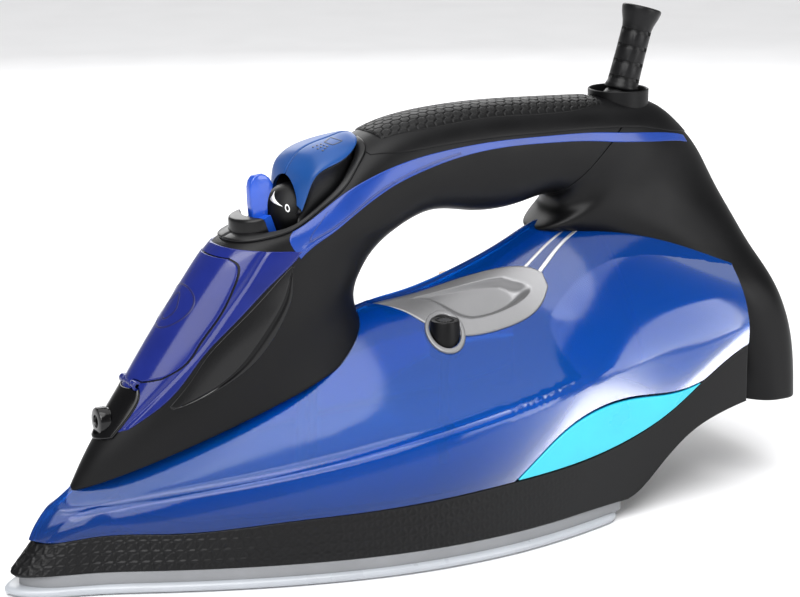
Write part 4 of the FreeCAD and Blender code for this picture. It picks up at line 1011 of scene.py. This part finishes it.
def door_mark():
    """Thin ring round a water drop, raised from the door."""
    pieces = []
    ring = [(8.4 * math.cos(t), 8.4 * math.sin(t)) for t in np.linspace(0, 2 * math.pi, 49)]
    drop = []
    for t in np.linspace(0, 2 * math.pi, 37):
        tip = max(math.cos(t), 0)
        drop.append((4.6 * (math.cos(t) + .25 * tip) - .6, 3.3 * math.sin(t) * (1 - .45 * tip)))
    for line, half in ((ring, .32), (drop, .30)):
        line = np.array(line)
        step = np.gradient(line, axis=0)
        step[0] = step[-1] = line[1] - line[-2]
        side = np.stack([-step[:, 1], step[:, 0]], -1)
        side = side / np.linalg.norm(side, axis=1, keepdims=True) * half
        near = curve([tuple(on_door(*q)) for q in line - side])
        far = curve([tuple(on_door(*q)) for q in line + side])
        pieces.append(plate("line", ribbon(loop, near, far), .5, 1.0, na=96, nb=3, edge=.08))
    return finish_piece(join("door_mark", pieces), "mark", "door")


def filler_door():
    piece = plate("filler_door_visual", across(DOOR_SHAPE), -1.3, .9, na=70, nb=50, edge=.6)
    s, z = DOOR_PIN
    cut(piece, *[bore(2.1, 0, 3.9, (s, y, z), (0, 1, 0), 32) for y in (-6.9, 3.0)])
    piece = join("filler_door_visual", [piece, knuckle(-3, 6)])
    return finish_piece(sharpen(piece, 35), "cover", "door", ["filler_door"])


def nozzle_surround():
    def relief(a, b, points):
        return .5 * np.exp(-((b - .5) / .28) ** 2) * np.sin(np.clip(a, 0, 1) * math.pi)

    piece = plate("nozzle_surround_visual", across(SURROUND_EDGE), -2.2, 1.2, na=60, nb=50, edge=.7,
                  relief=relief)
    s, z = DOOR_PIN
    cut(piece, bore(4.3, 0, 11.2, (30, 0, NOZZLE_Z), (1, 0, 0)),
        bore(3.4, 0, 20, (40, 0, NOZZLE_Z), (1, 0, 0)), bore(2.1, 0, 14, (s, -7, z), (0, 1, 0)))
    return finish_piece(sharpen(piece, 35), "gloss", "body", ["nozzle_surround"])


def spray_nozzle():
    profile = [(0, 14), (3.3, 14), (3.3, 6.8), (3.9, 6.4), (4.2, 6.1), (4.2, 3.9), (4.75, 3.6), (4.75, .7),
               (4.5, .2), (3.9, -.1), (2.2, -.1), (2.0, .4), (1.6, .5), (1.4, 1.5), (.6, 1.6), (.6, 4),
               (0, 4)]
    piece = lathe("spray_nozzle_visual", profile, (34.6, 0, NOZZLE_Z), (1, 0, 0), 56)
    return finish_piece(sharpen(piece, 30), "gloss", "body", ["spray_nozzle"])


def control_bezel():
    pieces = []
    for side in (1, -1):
        skin = loop_side(side, RING_INNER, RING_OUTER)
        pieces.append(plate("ring", skin, -1.2, 1.0, na=110, nb=10, edge=.6))
    piece = join("control_bezel_visual", pieces)
    return finish_piece(sharpen(piece, 35), "deck", "body", ["control_bezel"])


def deck_floor():
    """Dark floor inside the ring, round the lever and the dome."""
    floor = plate("deck_floor", across(RING_INNER), -6.0, -4.6, na=90, nb=24, edge=.3)
    s, y = PUMP_AT
    cut(floor, bore(14.9, -30, -3.5, LEVER_AT, LEVER_AXIS, 96), bore(4.4, 90, 150, (s, y, 0)),
        bore(4.4, 90, 150, (s, -y, 0)))
    return finish_piece(sharpen(floor, 35), "deck", "body")


# ---------------------------------------------------------------- controls
POD_SEAM = [(105.4, -.3, 124.5), (105.9, -.3, 129.4), (107.2, -.3, 134.1), (109.2, -.3, 137.3),
            (111.6, -.3, 139.9), (115.5, -.3, 142), (120.4, -.3, 143.4), (125.3, -.3, 144.6),
            (130.2, -.3, 145.5), (132.2, -.3, 145.3)]
POD_EDGE = [(107, -12, 121.4), (108.5, -13.3, 126.7), (109.7, -14.4, 131.1), (111.7, -15.2, 134.4),
            (115.1, -15.5, 136.4), (120.2, -15, 138.0), (125.1, -13.2, 140.1), (128.7, -10.5, 142),
            (131.4, -7, 143.4), (132.7, -3.5, 144.3), (132.9, -.9, 144.7)]
POD_FOOT = [(105.6, -11.9, 117.6), (108, -12, 118.8), (112.7, -11.7, 121.6), (116.9, -11.7, 124.8),
            (120.8, -11.7, 128), (124.2, -11, 131.6), (126.6, -9.9, 134.2), (129, -8, 137.2),
            (130.3, -5.5, 139), (131.2, -2.5, 140), (131.3, -.9, 140.1)]


def pod_skin(a, b):
    """Blue pad from the middle seam over its shoulder to its outer edge."""
    a, b = np.broadcast_arrays(np.asarray(a, float), np.asarray(b, float))
    seam, edge = curve(POD_SEAM)(np.clip(a, 0, 1)), curve(POD_EDGE)(np.clip(a, 0, 1))
    turn = b * math.pi / 2
    rise, reach = np.maximum(np.cos(turn), 1e-6) ** .9, np.sin(turn)
    level = 1 - rise
    return np.stack([seam[..., 0] + (edge[..., 0] - seam[..., 0]) * level,
                     seam[..., 1] + (edge[..., 1] - seam[..., 1]) * reach,
                     seam[..., 2] + (edge[..., 2] - seam[..., 2]) * level], -1)


def pod_side(a, b):
    """Dark wall under the pad's outer edge."""
    a, b = np.broadcast_arrays(np.asarray(a, float), np.asarray(b, float))
    top, low = curve(POD_EDGE)(np.clip(a, 0, 1)), curve(POD_FOOT)(np.clip(a, 0, 1))
    q = top + (low - top) * b[..., None]
    q[..., 1] = np.minimum(q[..., 1] * (1 - .05 * np.sin(b * math.pi)) + .75, -.3)
    q[..., 2] -= .5 * (1 - b)
    return q


def dome_room(grow):
    """Space of the scale dome, swept up by the pads' travel."""
    r, high = DOME_R + grow, DOME_R + grow + BUTTON_TRAVEL
    arc = [(r * math.sin(math.radians(t)), BUTTON_TRAVEL + r * math.cos(math.radians(t)))
           for t in range(90, 0, -3)]
    return lathe("tool", [(0, -12), (r, -12)] + arc + [(0, high)], LEVER_AT, count=72)


def pump_button(side, body_name, node, label):
    flipped = (lambda f: f) if side < 0 else flip
    top = plate(label + "_pad", flipped(pod_skin), -1.5, 0, na=110, nb=46, edge=.5)
    cut(top, dome_room(.4))
    finish_piece(sharpen(top, 35), "button", body_name, [node])
    wall = plate(label + "_wall", flipped(pod_side), -1.2, 0, na=80, nb=16, edge=.25)
    cut(wall, dome_room(.5))
    finish_piece(sharpen(wall, 35), "deck", body_name)
    profile = [(0, 104), (3.4, 104), (3.5, 104.2), (3.5, 106.8), (3.3, 107), (2, 107.4), (2, 129),
               (2.2, 129.45), (3.3, 129.5), (3.3, 134.4), (0, 134.4)]
    stem = lathe(label + "_plunger", profile, (PUMP_AT[0], side * PUMP_AT[1], 0), count=40)
    finish_piece(sharpen(stem), "nylon", body_name)


def pad_icon():
    """Generic spray mark on the near pad: an open cup shape with rows of dots."""
    pieces = []
    for row in range(3):
        for column in range(3):
            a = .56 + .036 * row
            b = .30 + .085 * (column - 1) * (1 + .25 * (2 - row))
            at = pod_skin(np.array(a), np.array(b))
            dot = [(0, -.3), (.5, -.3), (.5, .06), (.4, .1), (0, .1)]
            pieces.append(lathe("dot", dot, at, (0, -.25, .97), 14))
    frame_line = [(.675, .20), (.675, .44), (.775, .52), (.775, .10)]
    for (a0, b0), (a1, b1) in zip(frame_line, frame_line[1:] + frame_line[:1]):
        da, db = (a1 - a0), (b1 - b0)
        na, nb = -db / 3.0, da * 3.0
        length = math.hypot(na * 60, nb * 20)
        na, nb = na / length * .38, nb / length * .38

        def skin(a, b, a0=a0, b0=b0, da=da, db=db, na=na, nb=nb):
            a, b = np.broadcast_arrays(np.asarray(a, float), np.asarray(b, float))
            return pod_skin(a0 + da * a + na * (b - .5) * 2, b0 + db * a + nb * (b - .5) * 2)
        pieces.append(plate("bar", skin, -.3, .1, na=14, nb=3, edge=.05))
    return finish_piece(join("spray_mark", pieces), "print", "spray_press")


def steam_lever():
    """Clear blue finger tab with its pointer base, turning on the leaning pivot."""
    shaft = [(0, -15), (2.8, -15), (3, -14.8), (3, -4.8), (6, -4.6), (6, -3), (5.8, -2.8), (0, -2.8)]
    hub = lathe("hub", shaft, (HALF_LENGTH, 0, 0), count=48)
    cells, faces = [], []
    wide, rows = 24, 25
    profile = [(5.0, -4.6), (13.9, -4.6), (14.2, -4.2), (14.2, 3.6), (13.9, 4.2), (11.0, 4.2), (10.7, 3.8),
               (10.7, -2.4), (10.3, -2.8), (5.0, -2.8)]
    for k in range(rows):
        angle = math.radians(180 - wide + 2 * wide * k / (rows - 1))
        cells += [(r * math.cos(angle), r * math.sin(angle), h) for r, h in profile]
    n = len(profile)
    for k in range(rows - 1):
        i, m = k * n, (k + 1) * n
        faces += [(i + j, m + j, m + (j + 1) % n, i + (j + 1) % n) for j in range(n)]
    faces += [tuple(range(n)), tuple(range((rows - 1) * n, rows * n))]
    pointer = make_object("pointer", np.array(cells) + (HALF_LENGTH, 0, 0), faces)
    for part in (hub, pointer):
        part.data.transform(Matrix.Rotation(-LEVER_LEAN, 4, "Y"))
        part.data.transform(Matrix.Translation(to_metres(LEVER_AT)))
    fin = prism("fin", [(93.4, 117), (92.7, 124), (92.6, 129.4), (93.1, 131.6), (94.3, 133.2), (96.4, 134.1),
                        (98.4, 133.6), (100.2, 132.2), (101.5, 130), (101.6, 118)], -1.8, 1.8)
    soften(fin, .7, 4)
    cut(fin, dome_room(.4))
    piece = join("steam_lever_visual", [hub, pointer, fin])
    return finish_piece(sharpen(piece, 40), "lever", "lever", ["steam_lever"])


def pivot_cap():
    """Dark block with a round nose, in front of the lever, its top sloping down to the nose."""
    r = 9.6
    arc = [(95.5 + r * math.cos(math.radians(t)), r * math.sin(math.radians(t))) for t in range(96, 265, 7)]
    plan = [(100, r)] + arc + [(100, -r)]
    cells = [(s, y, 112.2) for s, y in plan] + [(s, y, 119.4 + (s - 86) * .12) for s, y in plan]
    n = len(plan)
    faces = [tuple(range(n)), tuple(range(n, 2 * n))]
    faces += [(k, (k + 1) % n, n + (k + 1) % n, n + k) for k in range(n)]
    piece = make_object("pivot_cap_visual", cells, faces)
    soften(piece, 1.1, 4, 50)
    cut(piece, bore(17.3, -30, 40, LEVER_AT, LEVER_AXIS, 96))
    return finish_piece(sharpen(piece, 35), "deck", "body", ["pivot_cap"])


def steam_scale():
    """Black dome behind the lever, cut off flat below, with its printed scale."""
    arc = [(DOME_R * math.sin(math.radians(t)), DOME_R * math.cos(math.radians(t)))
           for t in range(103, -1, -3)]
    piece = lathe("steam_scale_visual", [(0, -2.35)] + arc[:-1] + [(0, DOME_R)], LEVER_AT, LEVER_AXIS, 72)
    return finish_piece(sharpen(piece, 40), "black", "body", ["steam_scale"])


def on_dome(azimuth, height, grow=0.0):
    """Point on the scale dome: azimuth from the nose side, height in degrees above its rim."""
    r = DOME_R + grow
    a, h = math.radians(azimuth), math.radians(height)
    local = Vector((-r * math.cos(h) * math.cos(a), r * math.cos(h) * math.sin(a), r * math.sin(h)))
    turned = Matrix.Rotation(-LEVER_LEAN, 3, "Y") @ local
    return np.array(LEVER_AT) + np.array(turned)


def scale_print():
    """Tapered crescent and a zero, on the dome's near side."""
    count = 26
    cells, faces = [], []
    for k in range(count + 1):
        share = k / count
        azimuth = -(4 + 46 * share)
        middle, half = 60 - 26 * share, 8.5 * (1 - share) ** 1.1 + .5
        for height in (middle - half, middle + half):
            cells += [on_dome(azimuth, height, .1), on_dome(azimuth, height, -.3)]
    for k in range(count):
        i, j = 4 * k, 4 * k + 4
        faces += [(i, j, j + 2, i + 2), (i + 1, i + 3, j + 3, j + 1), (i, i + 1, j + 1, j)]
        faces.append((i + 2, j + 2, j + 3, i + 3))
    faces += [(0, 2, 3, 1), (4 * count, 4 * count + 1, 4 * count + 3, 4 * count + 2)]
    crescent = make_object("crescent", cells, faces)
    turns = 28
    cells, faces = [], []
    for k in range(turns):
        t = 2 * math.pi * k / turns
        m = (k + 1) % turns
        for grow, size in ((.1, 1.0), (.1, .62), (-.3, .62), (-.3, 1.0)):
            cells.append(on_dome(-60 + 5.0 * size * math.cos(t), 28 + 8.0 * size * math.sin(t), grow))
        faces += [(4 * k + j, 4 * m + j, 4 * m + (j + 1) % 4, 4 * k + (j + 1) % 4) for j in range(4)]
    zero = make_object("zero", cells, faces)
    return finish_piece(join("steam_scale_print", [crescent, zero]), "white", "body")


def self_clean_button():
    s, y = CLEAN_AT
    z = 73.2
    cap = [(0, 2.6), (4.2, 2.6), (4.2, -8.6), (5.0, -8.6), (5.3, -8.2), (5.3, 4.2), (5.0, 4.9), (4.3, 5.1),
           (3.6, 4.8), (0, 4.8)]
    piece = lathe("self_clean_button_visual", cap, (s, y, z), count=72)
    teeth = []
    for k in range(18):
        angle = 2 * math.pi * k / 18
        at = (s + 3.0 * math.cos(angle), y + 3.0 * math.sin(angle), z + 4.7)
        teeth.append(lathe("rib", [(0, -.2), (.38, -.2), (.38, .25), (.25, .4), (0, .4)], at, count=10))
    stem = lathe("stem", [(0, -50.8), (1.6, -50.8), (1.8, -50.6), (1.8, 2.8), (0, 2.8)], (s, y, z), count=28)
    piece = join("self_clean_button_visual", [piece, stem] + teeth)
    return finish_piece(sharpen(piece, 35), "black", "clean_press", ["self_clean_button"])


def on_tank(s, y):
    """Point of the tank's near skin above a place in plan."""
    p, t = np.full(s.shape, .56), np.full(s.shape, 2.5)
    for _ in range(25):
        q = body(p, t) * np.array([1, -1, 1])
        by_p = (body(p + 1e-4, t) * np.array([1, -1, 1]) - q) / 1e-4
        by_t = (body(p, t + 1e-4) * np.array([1, -1, 1]) - q) / 1e-4
        det = by_p[..., 0] * by_t[..., 1] - by_p[..., 1] * by_t[..., 0]
        ds, dy = s - q[..., 0], y - q[..., 1]
        p = p + np.clip((ds * by_t[..., 1] - dy * by_t[..., 0]) / det, -.02, .02)
        t = np.clip(t + np.clip((dy * by_p[..., 0] - ds * by_p[..., 1]) / det, -.1, .1), 1.5, 2.95)
    return body(p, t) * np.array([1, -1, 1])


def self_clean_collar():
    """Silver lip round the button that follows the tank's slope."""
    def skin(a, b):
        a, b = np.broadcast_arrays(np.asarray(a, float), np.asarray(b, float))
        r = CLEAN_HOLE + 1.7 * b
        turn = 2 * math.pi * a
        return on_tank(CLEAN_AT[0] + r * np.cos(turn), CLEAN_AT[1] + r * np.sin(turn))

    ring = plate("self_clean_collar_visual", skin, -1.6, 1.25, na=72, nb=6, edge=.5, closed=True)
    return finish_piece(sharpen(ring, 35), "silver_paint", "body", ["self_clean_collar"])


# ---------------------------------------------------------------- cord sleeve
def strain_relief():
    arc = [(6.9 * math.cos(math.radians(t)), 6.9 * math.sin(math.radians(t))) for t in range(-58, 40, 7)]
    outer = arc + [(5.2, 4.6), (6.3, 5.0), (6.5, 5.6), (6.3, 6.6), (5.9, 7.4), (5.75, 12), (5.6, 20),
                   (5.6, 28.5), (6.0, 30.5), (7.0, 33.4), (7.45, 35.4), (7.4, 36.2), (6.9, 36.6), (4.6, 36.6),
                   (3.7, 35.6), (3.6, 34), (3.6, -5.8)]
    piece = lathe("bend_sleeve_visual", outer + outer[:1], (0, 0, 0), count=72)
    slots = []
    for k in range(7):
        low = 8.6 + 3.0 * k
        high = low + 1.35
        ring = [(4.7, low), (9, low), (9, high), (4.7, high), (4.7, low)]
        band = lathe("tool", ring, (0, 0, 0), count=48)
        gate = bpy.data.objects.new("gate", bpy.data.meshes.new("gate"))
        bpy.context.scene.collection.objects.link(gate)
        work = bmesh.new()
        bmesh.ops.create_cube(work, size=1)
        bmesh.ops.scale(work, vec=(24 * MM, 12 * MM, 4 * MM), verts=work.verts)
        bmesh.ops.translate(work, vec=(0, 6.9 * MM, (low + .7) * MM), verts=work.verts)
        turn = Matrix.Rotation(math.pi * (k % 2) + math.radians(150), 4, "Z")
        bmesh.ops.transform(work, matrix=turn, verts=work.verts)
        bmesh.ops.translate(work, vec=(-HALF_LENGTH * MM, 0, 0), verts=work.verts)
        work.to_mesh(gate.data)
        work.free()
        modifier = band.modifiers.new("keep", "BOOLEAN")
        modifier.operation = "INTERSECT"
        modifier.solver = "EXACT"
        modifier.object = gate
        apply_modifiers(band)
        bpy.data.objects.remove(gate)
        slots.append(band)
    cut(piece, join("tool", slots))
    piece.data.transform(Matrix.Translation((HALF_LENGTH * MM, 0, 0)))
    piece.data.transform(Matrix.Rotation(RELIEF_LEAN, 4, "Y"))
    piece.data.transform(Matrix.Translation(to_metres(RELIEF_AT)))
    soften(piece, .25, 2, 40)
    return finish_piece(sharpen(piece, 40), "rubber", "bend_sleeve", ["strain_relief"])


def swivel_cup():
    ring = [(10.4, .4), (10.4, 5.0), (10.6, 5.5), (11.0, 5.7), (11.4, 5.4), (11.4, -9), (9.4, -9),
            (5.2, -8.8), (9.2, .4)]
    piece = lathe("swivel_cup_visual", ring + ring[:1], RELIEF_AT, count=72)
    return finish_piece(sharpen(piece, 40), "black", "body", ["swivel_cup"])


# ---------------------------------------------------------------- carried-over CAD nodes
CARRIED = {
    "aluminium": ["heater_casting"],
    "sheath": ["heating_element"],
    "steel": ["steam_chamber_cover", "sole_screws", "heel_screws", "door_pin", "temperature_sensor",
              "steam_rod", "self_clean_spring", "spray_spring", "steam_spring"],
    "heat": ["heat_cover"],
    "board": ["insulating_plate"],
    "ceramic": ["thermal_fuse"],
    "inside": ["tank_floor", "filler_funnel"],
    "silicone": ["valve_seat", "rod_seal", "spray_hose", "steam_hose"],
    "amber": ["pilot_lens"],
    "black": ["base_tray", "heel_plate", "lever_bearing", "swivel_collar"],
    "nylon": ["spray_pump", "steam_pump"],
    "cream": ["terminal_block"],
    "circuit": ["control_board"],
}


def dress_nodes():
    for material, names in CARRIED.items():
        for name in names:
            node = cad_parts[name]
            node.data.materials.clear()
            node.data.materials.append(M[material])


# ---------------------------------------------------------------- stage
def softbox(name, at, target, size, power):
    lamp = bpy.data.lights.new(name, "AREA")
    lamp.shape = "RECTANGLE"
    lamp.size, lamp.size_y = size
    lamp.energy = power
    holder = bpy.data.objects.new(name, lamp)
    holder.location = at
    holder.rotation_euler = (Vector(target) - Vector(at)).to_track_quat("-Z", "Y").to_euler()
    bpy.context.scene.collection.objects.link(holder)
    return holder


def stage():
    mesh = bpy.data.meshes.new("floor")
    mesh.from_pydata([(-4, -4, 0), (4, -4, 0), (4, 4, 0), (-4, 4, 0)], [], [(0, 1, 2, 3)])
    floor = bpy.data.objects.new("floor", mesh)
    floor.location.z = -.0002
    bpy.context.scene.collection.objects.link(floor)
    paper = shader("floor_paper", (.86, .86, .87), .7)
    grain(paper, 3, .02, .05, .01, 60)
    floor.data.materials.append(paper)
    world = bpy.data.worlds.new("studio")
    world.use_nodes = True
    sky = world.node_tree
    sky.nodes["Background"].inputs["Color"].default_value = (1, 1, 1, 1)
    place = sky.nodes.new("ShaderNodeTexCoord")
    split = sky.nodes.new("ShaderNodeSeparateXYZ")
    fade = add(sky, "ShaderNodeMapRange", From_Min=.02, From_Max=.30, To_Min=.6, To_Max=.20)
    sky.links.new(place.outputs["Generated"], split.inputs["Vector"])
    sky.links.new(split.outputs["Z"], fade.inputs["Value"])
    sky.links.new(fade.outputs["Result"], sky.nodes["Background"].inputs["Strength"])
    bpy.context.scene.world = world
    bpy.context.scene.view_settings.view_transform = "Standard"
    sun = bpy.data.lights.new("window", "SUN")
    sun.energy = 2.4
    sun.angle = math.radians(50)
    holder = bpy.data.objects.new("window", sun)
    holder.rotation_euler = Vector((-.35, -.45, 1)).to_track_quat("Z", "Y").to_euler()
    bpy.context.scene.collection.objects.link(holder)
    softbox("key", (-.75, -.65, .75), (0, 0, .07), (.9, .7), 8)
    softbox("top", (.05, .05, 1.05), (0, 0, .08), (1.2, .8), 5)
    softbox("side", (.55, -.95, .35), (.02, 0, .08), (.5, .6), 4)
    softbox("back", (.35, .9, .6), (0, 0, .1), (.9, .6), 6)


def camera():
    """Three quarters from the nose's left, a little above, at the distance of a short tele lens."""
    eye = bpy.data.cameras.new("camera")
    eye.lens = 87.2
    eye.sensor_width = 36
    holder = bpy.data.objects.new("camera", eye)
    holder.location = (-.3417, -.5856, .2635)
    target = Vector((-.0036, 0, .0823))
    holder.rotation_euler = (target - holder.location).to_track_quat("-Z", "Y").to_euler()
    bpy.context.scene.collection.objects.link(holder)
    bpy.context.scene.camera = holder


def main():
    stage()
    camera()
    soleplate()
    skirt()
    tank_piece()
    for side, label in ((-1, "left"), (1, "right")):
        leaf(side, label)
        console_trim(side, label)
        side_stripe(side, label)
        stripe_lines(side, label)
        side_insert(side, label)
    trim_strips()
    trim_groove()
    handle_shell()
    rear_cover()
    handle_top()
    grip_pad()
    front_cover()
    filler_door()
    door_mark()
    nozzle_surround()
    spray_nozzle()
    control_bezel()
    deck_floor()
    pump_button(-1, "spray_press", "spray_button", "spray_button")
    pump_button(1, "steam_press", "steam_button", "steam_button")
    pad_icon()
    steam_lever()
    pivot_cap()
    steam_scale()
    scale_print()
    self_clean_button()
    self_clean_collar()
    strain_relief()
    swivel_cup()
    dress_nodes()


main()
